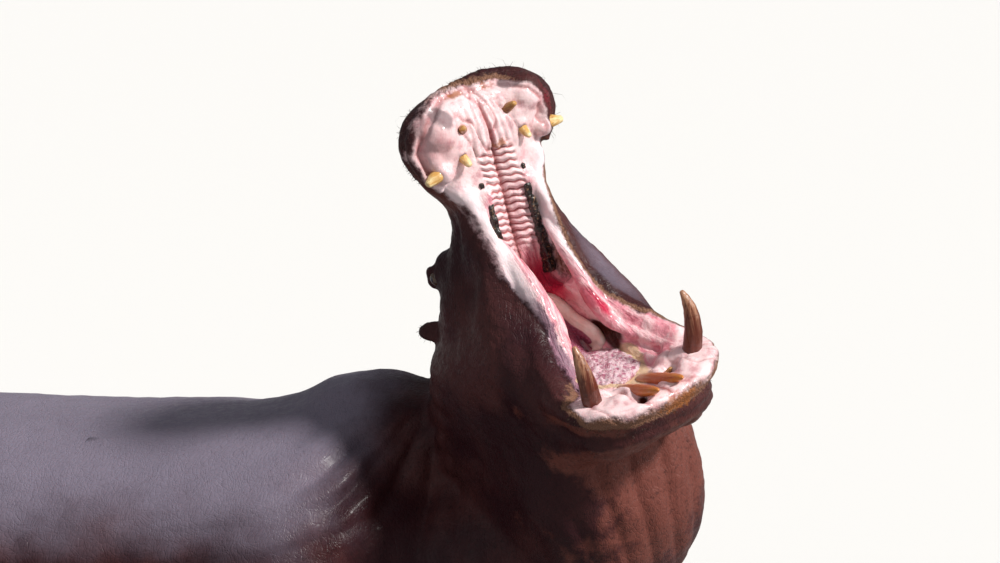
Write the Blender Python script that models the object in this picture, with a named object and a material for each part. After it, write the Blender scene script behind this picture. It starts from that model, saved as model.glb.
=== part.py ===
"""A hippopotamus, life size, standing with its head thrown back and its mouth wide open.

The animal faces -Y with +X on its left, and stands on Z = 0. It is built as clay: lofts and balls for each
part of the body are fused, smoothed and thinned to few faces, and then parted with thin flat cuts into
the named pieces. Teeth, eyes, nails, ears and tongue are solids of their own, let into the flesh.
"""

import math

import bmesh
import bpy
from mathutils import Matrix, Vector

# --- Driving dimensions, metres and degrees ---------------------------------------------------------

GAP = 0.0006  # clearance left between pieces that touch
JAW_JOINT = Vector((-0.13, -0.58, 1.69))  # midpoint between the two jaw joints
HEAD_TURN = 40.0  # the head looks this far to the animal's right
HEAD_ROLL = 16.4  # its left side is the higher one
GAPE = 88.0  # from the lower jaw, which is level, up to the palate
MUZZLE_HALF = 0.225  # half width of the upper lips
CHEEK_HALF = 0.262  # half width across the chewing muscles
EYE_RADIUS = 0.026
SOLE_Z = 0.0
LEG_SPREAD = 0.36  # each foot's distance from the middle plane
FRONT_FEET_Y = 0.06
HIND_FEET_Y = 1.62

HEAD_VOXEL = 0.011
BODY_VOXEL = 0.02
HEAD_TRIANGLES = 2200
BODY_TRIANGLES = 2000
SMOOTHING = 5

# Every frame has x forward, y to the animal's left and z up.
LOWER = (
    Matrix.Translation(JAW_JOINT)
    @ Matrix.Rotation(math.radians(-90 - HEAD_TURN), 4, "Z")
    @ Matrix.Rotation(math.radians(HEAD_ROLL), 4, "X")
)
UPPER = LOWER @ Matrix.Rotation(math.radians(-GAPE), 4, "Y")
WORLD = Matrix.Identity(4)
SIDES = ((1, "left"), (-1, "right"))

HIDE = ("hide", (0.16, 0.105, 0.1), 0.45)
MOUTH = ("mouth", (0.78, 0.47, 0.47), 0.4)
IVORY = ("ivory", (0.72, 0.5, 0.25), 0.35)
EYE = ("eye", (0.05, 0.03, 0.02), 0.08)
NAIL = ("nail", (0.2, 0.16, 0.14), 0.5)

# --- Helpers ----------------------------------------------------------------------------------------


def clear_scene():
    for obj in list(bpy.data.objects):
        bpy.data.objects.remove(obj)


def material(finish):
    name, colour, roughness = finish
    made = bpy.data.materials.get(name)
    if made is None:
        made = bpy.data.materials.new(name)
        made.use_nodes = True
        shader = made.node_tree.nodes["Principled BSDF"]
        shader.inputs["Base Color"].default_value = (*colour, 1)
        shader.inputs["Roughness"].default_value = roughness
    return made


def add_object(name, mesh):
    obj = bpy.data.objects.new(name, mesh)
    bpy.context.scene.collection.objects.link(obj)
    return obj


def from_bmesh(name, bm):
    bmesh.ops.recalc_face_normals(bm, faces=bm.faces)
    bmesh.ops.triangulate(bm, faces=bm.faces)
    mesh = bpy.data.meshes.new(name)
    bm.to_mesh(mesh)
    bm.free()
    return add_object(name, mesh)


def signed_power(value, power):
    return math.copysign(abs(value) ** power, value)


def catmull_rom(a, b, c, d, t):
    """The value between b and c on a smooth curve through the four, for numbers and vectors alike."""
    return (b * 2 + (c - a) * t + (a * 2 - b * 5 + c * 4 - d) * t**2 + (b * 3 - a - c * 3 + d) * t**3) * 0.5


def refined(rows, steps):
    """Rows of equal columns with steps - 1 smooth rows put in between each two."""
    padded = [rows[0], *rows, rows[-1]]
    found = []
    for a, b, c, d in zip(padded, padded[1:], padded[2:], padded[3:]):
        for step in range(steps):
            found.append([catmull_rom(*column, step / steps) for column in zip(a, b, c, d)])
    return [*found, list(rows[-1])]


def loft(name, frame, rows, across=(0, 1, 0), axis=None, sides=28, steps=3, squareness=2.4, narrowing=0.0):
    """A closed skin over rings. A row is (centre, half width, half height), perhaps with its upward direction.

    The half width runs along across. The rings stand square to the path, or to axis if it is given.
    squareness 2 is an ellipse and more is boxier; narrowing makes the upper side narrower than the lower.
    """
    across = Vector(across).normalized()
    rows = refined([(Vector(centre), *others) for centre, *others in rows], steps)
    bm = bmesh.new()
    rings = []
    for index, (centre, width, height, *upward) in enumerate(rows):
        before, after = rows[max(index - 1, 0)][0], rows[min(index + 1, len(rows) - 1)][0]
        along = Vector(axis).normalized() if axis else (after - before).normalized()
        upright = (upward[0] if upward else along.cross(across)).normalized()
        side = across if upward else upright.cross(along).normalized()
        ring = []
        for corner in range(sides):
            angle = 2 * math.pi * corner / sides
            y = signed_power(math.cos(angle), 2 / squareness)
            z = signed_power(math.sin(angle), 2 / squareness)
            point = centre + side * (y * width * (1 - narrowing * z)) + upright * (z * height)
            ring.append(bm.verts.new(frame @ point))
        rings.append(ring)
    for ring, following in zip(rings, rings[1:]):
        for i in range(sides):
            j = (i + 1) % sides
            bm.faces.new((ring[i], ring[j], following[j], following[i]))
    bm.faces.new(rings[0])
    bm.faces.new(rings[-1])
    return from_bmesh(name, bm)


def profile_loft(name, frame, rows, **options):
    """A loft along x from rows of (x, half width, bottom, top)."""
    made = []
    for x, width, bottom, top in rows:
        made.append((Vector((x, 0, (bottom + top) / 2)), width, (top - bottom) / 2))
    return loft(name, frame, made, axis=(-1, 0, 0), **options)


def tube(name, frame, points, radii, across=(0, 1, 0), flatness=1.0, **options):
    """A loft along points; flatness is the share of the radius that stands square to across."""
    rows = [(point, radius, radius * flatness) for point, radius in zip(points, radii)]
    return loft(name, frame, rows, across=across, **options)


def ball(name, frame, centre, radii, segments=20):
    bm = bmesh.new()
    shape = frame @ Matrix.Translation(centre) @ Matrix.Diagonal((*radii, 1))
    bmesh.ops.create_uvsphere(bm, u_segments=segments, v_segments=segments // 2, radius=1, matrix=shape)
    return from_bmesh(name, bm)


def sided(point, side):
    """The point on the animal's left for side 1, and its mirror image for side -1."""
    return Vector((point[0], point[1] * side, point[2]))


def baked(obj):
    """The object with its modifiers made permanent."""
    graph = bpy.context.evaluated_depsgraph_get()
    mesh = bpy.data.meshes.new_from_object(obj.evaluated_get(graph))
    obj.modifiers.clear()
    obj.data = mesh
    return obj


def combined(obj, other, operation):
    """obj with the Boolean of other applied to it."""
    modifier = obj.modifiers.new(operation, "BOOLEAN")
    modifier.operation = operation
    modifier.object = other
    return baked(obj)


def removed(*objects):
    for obj in objects:
        bpy.data.objects.remove(obj)


def carved(obj, cutter):
    combined(obj, cutter, "DIFFERENCE")
    removed(cutter)
    return obj


def grown(obj, margin=GAP):
    """A copy whose faces stand out by the margin, used as a cutter."""
    copy = add_object(obj.name + "_cutter", obj.data.copy())
    swell = copy.modifiers.new("swell", "DISPLACE")
    swell.strength = margin
    swell.mid_level = 0
    return baked(copy)


def fused(name, pieces, voxel, triangles):
    """All pieces as one smooth closed skin of about that many triangles."""
    bm = bmesh.new()
    for piece in pieces:
        bm.from_mesh(piece.data)
    mesh = bpy.data.meshes.new(name)
    bm.to_mesh(mesh)
    bm.free()
    obj = add_object(name, mesh)
    remesh = obj.modifiers.new("fuse", "REMESH")
    remesh.mode = "VOXEL"
    remesh.voxel_size = voxel
    smooth = obj.modifiers.new("smooth", "SMOOTH")
    smooth.factor = 0.5
    smooth.iterations = SMOOTHING
    baked(obj)
    thin = obj.modifiers.new("thin", "DECIMATE")
    thin.ratio = triangles / (2 * len(obj.data.polygons))
    thin.use_collapse_triangulate = True
    return largest_piece(baked(obj))


def cut(obj, point, normal, gap=GAP):
    """Removes what lies on the normal's side of a plane, and closes the cut."""
    normal = Vector(normal).normalized()
    bm = bmesh.new()
    bm.from_mesh(obj.data)
    geometry = [*bm.verts, *bm.edges, *bm.faces]
    place = Vector(point) - normal * (gap / 2)
    bmesh.ops.bisect_plane(bm, geom=geometry, dist=1e-6, plane_co=place, plane_no=normal, clear_outer=True)
    rim = [edge for edge in bm.edges if edge.is_boundary]
    bmesh.ops.holes_fill(bm, edges=rim)
    bmesh.ops.recalc_face_normals(bm, faces=bm.faces)
    bm.to_mesh(obj.data)
    bm.free()
    return obj


def copied(obj, name):
    return add_object(name, obj.data.copy())


def largest_piece(obj):
    """Drops crumbs that a cut left loose."""
    bm = bmesh.new()
    bm.from_mesh(obj.data)
    unseen = set(bm.verts)
    groups = []
    while unseen:
        edge_of_group = [unseen.pop()]
        group = set(edge_of_group)
        while edge_of_group:
            for edge in edge_of_group.pop().link_edges:
                for vert in edge.verts:
                    if vert in unseen:
                        unseen.remove(vert)
                        group.add(vert)
                        edge_of_group.append(vert)
        groups.append(group)
    groups.sort(key=len)
    for group in groups[:-1]:
        bmesh.ops.delete(bm, geom=list(group), context="VERTS")
    bm.to_mesh(obj.data)
    bm.free()
    return obj


def finish(obj, name, look):
    obj.name = name
    obj.data.name = name
    obj.data.materials.clear()
    obj.data.materials.append(material(look))
    return obj


# --- Clay for the trunk, neck, legs and tail --------------------------------------------------------


def head_point(forward, left, up):
    """A point given in the lower jaw's frame, in the world."""
    return LOWER @ Vector((forward, left, up))


def neck_clay():
    neck = loft(
        "neck_clay",
        WORLD,
        [
            ((0, 0.24, 0.93), 0.45, 0.38),
            ((0.02, 0.0, 1.0), 0.45, 0.38),
            ((0.07, -0.2, 1.09), 0.33, 0.335),
            ((0.09, -0.38, 1.2), 0.235, 0.25),
            (head_point(-0.1, 0.1, -0.3), 0.2, 0.19),
            (head_point(-0.05, 0.05, -0.21), 0.17, 0.13),
        ],
        across=(1, 0, 0),
        sides=32,
    )
    gullet = loft(
        "gullet",
        LOWER,
        [
            ((0.06, 0, -0.12), 0.2, 0.2),
            ((0.08, 0, -0.25), 0.255, 0.285),
            ((0.085, 0, -0.4), 0.285, 0.315),
            ((0.085, 0, -0.55), 0.285, 0.315),
            ((0.04, 0, -0.72), 0.28, 0.28),
            ((-0.02, 0, -0.86), 0.24, 0.2),
        ],
        axis=(0, 0, -1),
        squareness=2.8,
    )
    throat = loft(
        "throat",
        WORLD,
        [
            (head_point(0.12, 0, -0.56), 0.24, 0.2),
            (head_point(0.03, 0, -0.7), 0.3, 0.25),
            ((0, -0.28, 0.86), 0.37, 0.29),
            ((0, -0.04, 0.74), 0.38, 0.27),
            ((0, 0.2, 0.74), 0.34, 0.2),
        ],
        across=(math.cos(math.radians(20)), -math.sin(math.radians(20)), 0),
        sides=28,
    )
    return [neck, gullet, throat]


def trunk_clay():
    barrel = loft(
        "barrel",
        WORLD,
        [
            ((0, -0.3, 0.93), 0.27, 0.29),
            ((0, -0.14, 0.93), 0.45, 0.42),
            ((0, 0.12, 0.88), 0.53, 0.46),
            ((0, 0.48, 0.84), 0.545, 0.465),
            ((0, 0.87, 0.805), 0.57, 0.48),
            ((0, 1.23, 0.8), 0.57, 0.48),
            ((0, 1.57, 0.835), 0.525, 0.455),
            ((0, 1.85, 0.87), 0.43, 0.39),
            ((0, 2.02, 0.895), 0.3, 0.28),
            ((0, 2.1, 0.915), 0.14, 0.13),
        ],
        across=(1, 0, 0),
        axis=(0, 1, 0),
        sides=36,
        squareness=2.25,
        narrowing=0.06,
    )
    crest = ball("crest", WORLD, (0.03, -0.13, 1.2), (0.26, 0.32, 0.25))
    rump_ridge = ball("rump_ridge", WORLD, (0, 1.5, 1.08), (0.3, 0.42, 0.225))
    pieces = [barrel, crest, rump_ridge]
    for side in (1, -1):
        pieces.append(ball("shoulder", WORLD, (0.32 * side, 0.1, 0.84), (0.25, 0.34, 0.4)))
        pieces.append(ball("haunch", WORLD, (0.32 * side, 1.5, 0.78), (0.28, 0.4, 0.42)))
    return pieces


def tail_clay():
    points = [
        (0, 1.97, 1.04),
        (0, 2.1, 1.0),
        (0, 2.165, 0.88),
        (0, 2.18, 0.74),
        (0, 2.175, 0.61),
        (0, 2.17, 0.55),
    ]
    radii = [0.09, 0.085, 0.06, 0.045, 0.03, 0.02]
    return tube("tail_clay", WORLD, points, radii, across=(0, 1, 0), flatness=0.72, sides=16)


TOE_REACH = 0.112
TOE_FAN = (-48, -17, 17, 48)  # degrees from straight ahead


def toe_centre(ankle, degrees, reach=TOE_REACH):
    angle = math.radians(degrees)
    return Vector((ankle[0] + math.sin(angle) * reach, ankle[1] - math.cos(angle) * reach, 0))


def leg_clay(side, points, radii, foot):
    """A leg from the body down to a flat pad with four toes; foot is the pad's centre."""
    placed = [(x * side, y, z) for x, y, z in points]
    pieces = [tube("leg", WORLD, placed, radii, across=(1, 0, 0), flatness=1.12, sides=24)]
    centre = Vector((foot[0] * side, foot[1], 0))
    pieces.append(ball("pad", WORLD, centre + Vector((0, 0, 0.055)), (0.14, 0.145, 0.09)))
    for degrees in TOE_FAN:
        toe = toe_centre(centre, degrees)
        pieces.append(ball("toe", WORLD, toe + Vector((0, 0, 0.04)), (0.056, 0.06, 0.064), segments=14))
    return pieces


FRONT_FOOT = (LEG_SPREAD, FRONT_FEET_Y)
HIND_FOOT = (LEG_SPREAD - 0.01, HIND_FEET_Y)


def legs_clay():
    front = [
        (LEG_SPREAD - 0.04, 0.1, 0.82),
        (LEG_SPREAD, 0.12, 0.52),
        (LEG_SPREAD + 0.01, 0.11, 0.35),
        (LEG_SPREAD, 0.09, 0.19),
        (LEG_SPREAD, 0.08, 0.07),
    ]
    hind = [
        (LEG_SPREAD - 0.05, 1.5, 0.78),
        (LEG_SPREAD, 1.48, 0.49),
        (LEG_SPREAD, 1.57, 0.34),
        (LEG_SPREAD - 0.01, 1.65, 0.22),
        (LEG_SPREAD - 0.01, 1.64, 0.07),
    ]
    pieces = []
    for side in (1, -1):
        pieces += leg_clay(side, front, [0.235, 0.195, 0.155, 0.135, 0.14], FRONT_FOOT)
        pieces += leg_clay(side, hind, [0.27, 0.215, 0.16, 0.132, 0.135], HIND_FOOT)
    return pieces


# --- Clay for the head ------------------------------------------------------------------------------


def cranium_clay():
    skull = profile_loft(
        "skull",
        UPPER,
        [
            (-0.17, 0.13, -0.12, 0.08),
            (-0.11, 0.19, -0.16, 0.135),
            (-0.02, 0.215, -0.17, 0.155),
            (0.08, 0.2, -0.13, 0.145),
            (0.18, 0.155, -0.085, 0.12),
            (0.28, 0.122, -0.06, 0.1),
            (0.36, 0.135, -0.055, 0.09),
            (0.43, 0.18, -0.052, 0.09),
            (0.5, MUZZLE_HALF - 0.012, -0.05, 0.1),
            (0.56, MUZZLE_HALF, -0.046, 0.105),
            (0.61, 0.21, -0.03, 0.1),
            (0.645, 0.17, -0.005, 0.092),
            (0.668, 0.09, 0.02, 0.075),
        ],
        sides=36,
        squareness=2.7,
        narrowing=0.16,
    )
    palate = profile_loft(
        "palate",
        UPPER,
        [
            (0.02, 0.05, -0.4, -0.075),
            (0.12, 0.05, -0.4, -0.05),
            (0.26, 0.045, -0.4, -0.04),
            (0.37, 0.045, -0.4, -0.038),
            (0.44, 0.05, -0.4, -0.036),
            (0.5, 0.04, -0.4, -0.036),
        ],
        sides=32,
        squareness=5,
    )
    carved(skull, palate)
    pieces = [skull]
    for side in (1, -1):
        pieces.append(ball("brow", UPPER, sided((0.125, 0.11, 0.122), side), (0.082, 0.062, 0.06)))
        pieces.append(ball("temple", UPPER, sided((-0.03, 0.13, 0.085), side), (0.12, 0.085, 0.095)))
        pieces.append(ball("nostril", UPPER, sided((0.565, 0.1, 0.09), side), (0.06, 0.05, 0.038)))
        pieces.append(ball("lip_pad", UPPER, sided((0.55, 0.125, -0.018), side), (0.1, 0.075, 0.035)))
    return pieces


MOLARS = 6


def molar_rows_clay():
    """The cheek teeth, which stay joined to their jaws."""
    pieces = []
    for side in (1, -1):
        for index in range(MOLARS):
            share = index / (MOLARS - 1)
            upper = sided((0.13 + 0.25 * share, 0.07 - 0.01 * share, -0.06), side)
            lower = sided((0.14 + 0.25 * share, 0.115 - 0.01 * share, -0.105), side)
            pieces.append(ball("molar", UPPER, upper, (0.024, 0.021, 0.026), segments=10))
            pieces.append(ball("molar", LOWER, lower, (0.024, 0.021, 0.026), segments=10))
    return pieces


def lower_lip_clay():
    """The flaring rim of the lower lip, from one cheek round the chin to the other."""
    half = [(0.34, 0.2, -0.09), (0.45, 0.222, -0.1), (0.53, 0.2, -0.112), (0.583, 0.12, -0.122)]
    points = [sided(point, 1) for point in half]
    points += [Vector((0.602, 0, -0.127))]
    points += [sided(point, -1) for point in reversed(half)]
    radii = [0.026, 0.031, 0.033, 0.032, 0.031, 0.032, 0.033, 0.031, 0.026]
    return tube("lower_lip", LOWER, points, radii, across=(0, 0, 1), sides=18)


def jaw_clay():
    mandible = profile_loft(
        "mandible",
        LOWER,
        [
            (-0.27, 0.16, -0.46, -0.12),
            (-0.2, 0.25, -0.54, -0.02),
            (-0.1, 0.285, -0.56, 0.05),
            (0.02, 0.285, -0.55, 0.09),
            (0.14, CHEEK_HALF, -0.5, 0.05),
            (0.26, 0.235, -0.42, -0.04),
            (0.38, 0.21, -0.32, -0.095),
            (0.47, 0.205, -0.285, -0.11),
            (0.54, 0.185, -0.255, -0.115),
            (0.59, 0.13, -0.225, -0.125),
            (0.615, 0.07, -0.2, -0.14),
        ],
        sides=36,
        squareness=2.7,
        narrowing=-0.1,
    )
    trough = profile_loft(
        "trough",
        LOWER,
        [
            (0.05, 0.05, 0.06, 0.4),
            (0.12, 0.085, -0.04, 0.4),
            (0.2, 0.115, -0.12, 0.4),
            (0.34, 0.12, -0.14, 0.4),
            (0.42, 0.12, -0.13, 0.4),
            (0.5, 0.15, -0.115, 0.4),
            (0.57, 0.12, -0.115, 0.4),
        ],
        sides=32,
        squareness=5,
    )
    carved(mandible, trough)
    pieces = [mandible, lower_lip_clay()]
    for side in (1, -1):
        pieces.append(ball("chewing_muscle", LOWER, sided((0.08, 0.17, -0.14), side), (0.18, 0.095, 0.22)))
        pieces.append(ball("tusk_gum", LOWER, sided((0.46, 0.155, -0.14), side), (0.07, 0.06, 0.05)))
        pieces.append(ball("chin_bulge", LOWER, sided((0.44, 0.1, -0.215), side), (0.12, 0.1, 0.08)))
    pieces.append(ball("incisor_gum", LOWER, (0.5, 0, -0.155), (0.08, 0.1, 0.045)))
    return pieces


# The cheek behind the fold, as spokes from the jaw joint: degrees above the lower jaw, how far the flesh
# reaches along that spoke, its middle's distance from the middle plane, and its half thickness.
CHEEK_WEB = (
    (-32, 0.44, 0.155, 0.09),
    (-20, 0.4, 0.155, 0.095),
    (-5, 0.3, 0.155, 0.095),
    (15, 0.235, 0.145, 0.085),
    (35, 0.215, 0.135, 0.078),
    (55, 0.23, 0.122, 0.068),
    (70, 0.29, 0.105, 0.055),
    (80, 0.355, 0.105, 0.045),
    (87, 0.42, 0.12, 0.03),
)


def cheek_clay(side):
    """The thick fold of skin that ties the upper lip to the lower one at the corner of the mouth."""
    points = [
        (0.03, 0.135, 0.43),
        (0.042, 0.114, 0.38),
        (0.064, 0.098, 0.32),
        (0.098, 0.093, 0.25),
        (0.115, 0.098, 0.18),
        (0.14, 0.105, 0.09),
        (0.2, 0.125, 0.0),
        (0.3, 0.165, -0.065),
        (0.42, 0.205, -0.105),
    ]
    radii = [0.028, 0.026, 0.024, 0.026, 0.034, 0.046, 0.054, 0.045, 0.035]
    placed = [sided(point, side) for point in points]
    fold = tube("cheek_fold", LOWER, placed, radii, across=(0, 1, 0), flatness=1.5, sides=20)
    rows = []
    for degrees, reach, middle, half in CHEEK_WEB:
        spoke = Vector((math.cos(math.radians(degrees)), 0, math.sin(math.radians(degrees))))
        rows.append((spoke * (reach / 2) + Vector((0, middle * side, 0)), half, reach / 2, spoke))
    web = loft("cheek_web", LOWER, rows, across=(0, 1, 0), sides=24, squareness=2.3)
    return [fold, web]


# --- Separate solids --------------------------------------------------------------------------------


def tongue():
    rows = [
        ((0.06, 0, 0.005), 0.045, 0.045),
        ((0.14, 0, -0.005), 0.075, 0.055),
        ((0.21, 0, -0.03), 0.085, 0.058),
        ((0.29, 0, -0.085), 0.088, 0.042),
        ((0.355, 0, -0.092), 0.085, 0.028),
        ((0.4, 0, -0.095), 0.06, 0.022),
    ]
    return loft("tongue", LOWER, rows, axis=(-1, 0, 0), sides=12, steps=2, squareness=2.6)


# Each tooth's curve from root to tip on the left side, and its radius along it.
LOWER_TEETH = {
    "tusk_lower": (
        (
            (0.47, 0.15, -0.19),
            (0.495, 0.162, -0.12),
            (0.522, 0.177, -0.03),
            (0.522, 0.183, 0.04),
            (0.505, 0.18, 0.085),
        ),
        (0.026, 0.0285, 0.026, 0.018, 0.006),
    ),
    "incisor_lower_inner": (
        (
            (0.44, 0.034, -0.125),
            (0.49, 0.036, -0.112),
            (0.56, 0.038, -0.096),
            (0.61, 0.04, -0.083),
            (0.634, 0.04, -0.075),
        ),
        (0.017, 0.0185, 0.018, 0.0125, 0.004),
    ),
    "incisor_lower_outer": (
        ((0.46, 0.085, -0.15), (0.485, 0.087, -0.125), (0.51, 0.089, -0.1)),
        (0.012, 0.012, 0.006),
    ),
}
UPPER_TEETH = {
    "tusk_upper": (
        ((0.485, 0.133, -0.02), (0.49, 0.158, -0.032), (0.49, 0.19, -0.04), (0.482, 0.226, -0.045)),
        (0.02, 0.021, 0.019, 0.009),
    ),
    "incisor_upper_inner": (
        ((0.55, 0.06, 0.015), (0.572, 0.073, -0.025), (0.592, 0.087, -0.058)),
        (0.016, 0.016, 0.008),
    ),
    "incisor_upper_outer": (
        ((0.525, 0.1, 0.0), (0.508, 0.1, -0.042), (0.49, 0.1, -0.072)),
        (0.014, 0.015, 0.007),
    ),
}


def teeth(frame, table):
    """A jaw's tusks and incisors, each with its root."""
    found = []
    for name, (points, radii) in table.items():
        for side, word in SIDES:
            placed = [sided(point, side) for point in points]
            tooth = tube("tooth", frame, placed, radii, flatness=0.85, sides=8, steps=2, squareness=2)
            found.append(finish(tooth, f"{name}_{word}", IVORY))
    return found


EYE_PLACE = (0.128, 0.146, 0.146)


def eyes():
    found = []
    for side, word in SIDES:
        made = ball("eye", UPPER, sided(EYE_PLACE, side), (EYE_RADIUS,) * 3, segments=12)
        found.append(finish(made, f"eye_{word}", EYE))
    return found


def ears():
    """Small rounded ears, flat across."""
    found = []
    for side, word in SIDES:
        points = [
            (-0.03, 0.125, 0.1),
            (-0.03, 0.152, 0.155),
            (-0.032, 0.175, 0.195),
            (-0.036, 0.187, 0.23),
            (-0.038, 0.192, 0.25),
        ]
        placed = [sided(point, side) for point in points]
        across = (0.75, -0.55 * side, 0.36)
        radii = [0.022, 0.028, 0.036, 0.029, 0.011]
        ear = tube("ear", UPPER, placed, radii, across=across, flatness=0.4, sides=10, steps=2)
        found.append(finish(ear, f"ear_{word}", HIDE))
    return found


def nails():
    """Sixteen blunt nails, each let into the end of a toe."""
    found = []
    feet = (("front", FRONT_FOOT), ("hind", HIND_FOOT))
    for side, word in SIDES:
        for leg, foot in feet:
            centre = Vector((foot[0] * side, foot[1], 0))
            for number, degrees in enumerate(TOE_FAN, 1):
                place = toe_centre(centre, degrees, TOE_REACH + 0.042)
                frame = Matrix.Translation(place) @ Matrix.Rotation(math.radians(degrees), 4, "Z")
                nail = ball("nail", frame, (0, 0, 0.04), (0.03, 0.022, 0.031), segments=8)
                found.append((word, leg, finish(nail, f"nail_{leg}_{word}_{number}", NAIL)))
    return found


# --- Parting the body -------------------------------------------------------------------------------


def lower_plane(first, second):
    """A plane across the head, through two points of its middle plane given as (forward, up)."""
    a, b = head_point(first[0], 0, first[1]), head_point(second[0], 0, second[1])
    left = LOWER.to_3x3() @ Vector((0, 1, 0))
    return a, (b - a).cross(left).normalized()


def prism(name, outline, y_range):
    """An outline of (x, z) points, drawn out along y."""
    bm = bmesh.new()
    rings = [[bm.verts.new((x, y, z)) for x, z in outline] for y in y_range]
    for ring in rings:
        bm.faces.new(ring)
    for i in range(len(outline)):
        j = (i + 1) % len(outline)
        bm.faces.new((rings[0][i], rings[0][j], rings[1][j], rings[1][i]))
    return from_bmesh(name, bm)


# Where a left leg meets the body, as (x, z): up the groin, then up and out to the flank.
LEG_OUTLINE = ((0.15, -0.1), (0.15, 0.4), (0.2, 0.46), (0.9, 0.86), (0.9, -0.1))


def cut_leg(body, name, side, y_range):
    """Takes one leg off the body."""
    keeper = prism("leg_prism", [(x * side, z) for x, z in LEG_OUTLINE], y_range)
    leg = combined(copied(body, name), keeper, "INTERSECT")
    carved(body, grown(keeper))
    removed(keeper)
    return finish(largest_piece(leg), name, HIDE)


TAIL_ROOT = (0, 2.1, 0.98)


def flatten_soles(obj):
    """Cuts the feet level with the floor."""
    return cut(obj, (0, 0, SOLE_Z), (0, 0, -1), gap=0)


def seated(flesh, solids):
    """Hollows a place in the flesh for each solid."""
    for solid in solids:
        carved(flesh, grown(solid))


def centre_all():
    """Moves the whole animal so that its bounding box stands centred on the origin."""
    meshes = [obj.data for obj in bpy.data.objects]
    corners = [vertex.co for mesh in meshes for vertex in mesh.vertices]
    middle = [(min(co[axis] for co in corners) + max(co[axis] for co in corners)) / 2 for axis in (0, 1)]
    for mesh in meshes:
        mesh.transform(Matrix.Translation((-middle[0], -middle[1], 0)))


# Each parting plane passes through two points of the middle plane, given forward and up from the jaw joint.
NAPE = ((-0.28, -0.14), (0.34, -0.43))
WITHERS = ((-0.5, -0.2), (0.28, -0.72))
CHEEK = ((-0.26, -0.2), (0.2, 0.13))
LEG_REACH = {"front": (-0.4, 0.5), "hind": (1.1, 2.3)}  # the stretch of the body that each pair stands in


def build():
    clear_scene()
    fore = [*neck_clay(), *cranium_clay(), *molar_rows_clay(), *jaw_clay(), *cheek_clay(1), *cheek_clay(-1)]
    rear = [*trunk_clay(), tail_clay(), *legs_clay()]
    body = flatten_soles(fused("body", [*fore, *rear], BODY_VOXEL, BODY_TRIANGLES))
    head = fused("head_clay", fore, HEAD_VOXEL, HEAD_TRIANGLES)
    removed(*fore, *rear)

    nape, nape_normal = lower_plane(*NAPE)
    withers, withers_normal = lower_plane(*WITHERS)
    cheek, cheek_normal = lower_plane(*CHEEK)
    up = Vector((0, 0, 1))
    for normal in (nape_normal, withers_normal, cheek_normal):
        if normal.dot(up) < 0:
            normal.negate()

    neck = copied(body, "neck")
    cut(neck, nape, nape_normal)
    cut(neck, withers, -withers_normal)
    finish(largest_piece(neck), "neck", HIDE)
    cut(body, withers, withers_normal)

    cut(head, nape, -nape_normal)
    jaw = copied(head, "jaw")
    cut(jaw, cheek, cheek_normal)
    cut(head, cheek, -cheek_normal)
    finish(largest_piece(head), "head", HIDE)
    finish(largest_piece(jaw), "jaw", HIDE)

    legs = {}
    for side, word in SIDES:
        for pair, reach in LEG_REACH.items():
            legs[pair, word] = cut_leg(body, f"leg_{pair}_{word}", side, reach)
    tail = copied(body, "tail")
    cut(tail, TAIL_ROOT, (0, -1, 0.1))
    cut(body, TAIL_ROOT, (0, 1, -0.1))
    finish(largest_piece(tail), "tail", HIDE)
    finish(largest_piece(body), "trunk", HIDE)

    lower_teeth, upper_teeth = teeth(LOWER, LOWER_TEETH), teeth(UPPER, UPPER_TEETH)
    tongue_solid = finish(tongue(), "tongue", MOUTH)
    seated(jaw, [*lower_teeth, tongue_solid])
    seated(head, [*upper_teeth, *eyes(), *ears(), tongue_solid])
    for word, leg, nail in nails():
        seated(legs[leg, word], [nail])
    centre_all()


build()
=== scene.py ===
"""A hippopotamus with its mouth wide open.

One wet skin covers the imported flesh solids. Teeth, tongue, eyes, nails and bristles are pieces of their
own. Lengths are metres and angles are degrees.
"""

import math
from contextlib import contextmanager

import bpy
import numpy as np
from mathutils import Matrix, Vector, noise
from mathutils.bvhtree import BVHTree


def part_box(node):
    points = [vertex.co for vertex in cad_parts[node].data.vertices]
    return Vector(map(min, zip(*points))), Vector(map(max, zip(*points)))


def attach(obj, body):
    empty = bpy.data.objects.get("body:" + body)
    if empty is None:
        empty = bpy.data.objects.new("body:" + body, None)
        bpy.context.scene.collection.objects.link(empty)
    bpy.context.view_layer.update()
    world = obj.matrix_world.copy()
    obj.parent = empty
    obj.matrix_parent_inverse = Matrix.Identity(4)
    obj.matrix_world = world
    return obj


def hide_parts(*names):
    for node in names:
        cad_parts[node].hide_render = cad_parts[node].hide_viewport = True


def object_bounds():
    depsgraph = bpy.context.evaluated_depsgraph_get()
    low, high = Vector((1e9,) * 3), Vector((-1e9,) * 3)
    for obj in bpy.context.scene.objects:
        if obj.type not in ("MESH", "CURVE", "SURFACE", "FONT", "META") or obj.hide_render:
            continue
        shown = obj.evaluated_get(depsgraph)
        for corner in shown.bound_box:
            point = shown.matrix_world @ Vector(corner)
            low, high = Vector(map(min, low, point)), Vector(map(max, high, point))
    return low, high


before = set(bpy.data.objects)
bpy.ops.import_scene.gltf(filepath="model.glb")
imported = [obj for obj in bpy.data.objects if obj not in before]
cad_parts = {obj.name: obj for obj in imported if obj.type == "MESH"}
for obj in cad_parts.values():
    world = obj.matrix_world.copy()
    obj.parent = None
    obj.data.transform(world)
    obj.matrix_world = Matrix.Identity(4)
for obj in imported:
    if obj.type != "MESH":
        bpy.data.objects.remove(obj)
cad_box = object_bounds()
rng = np.random.default_rng(7)

# --- The two jaws' own frames: x forward, y to the animal's left, z up from that jaw ---

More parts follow.
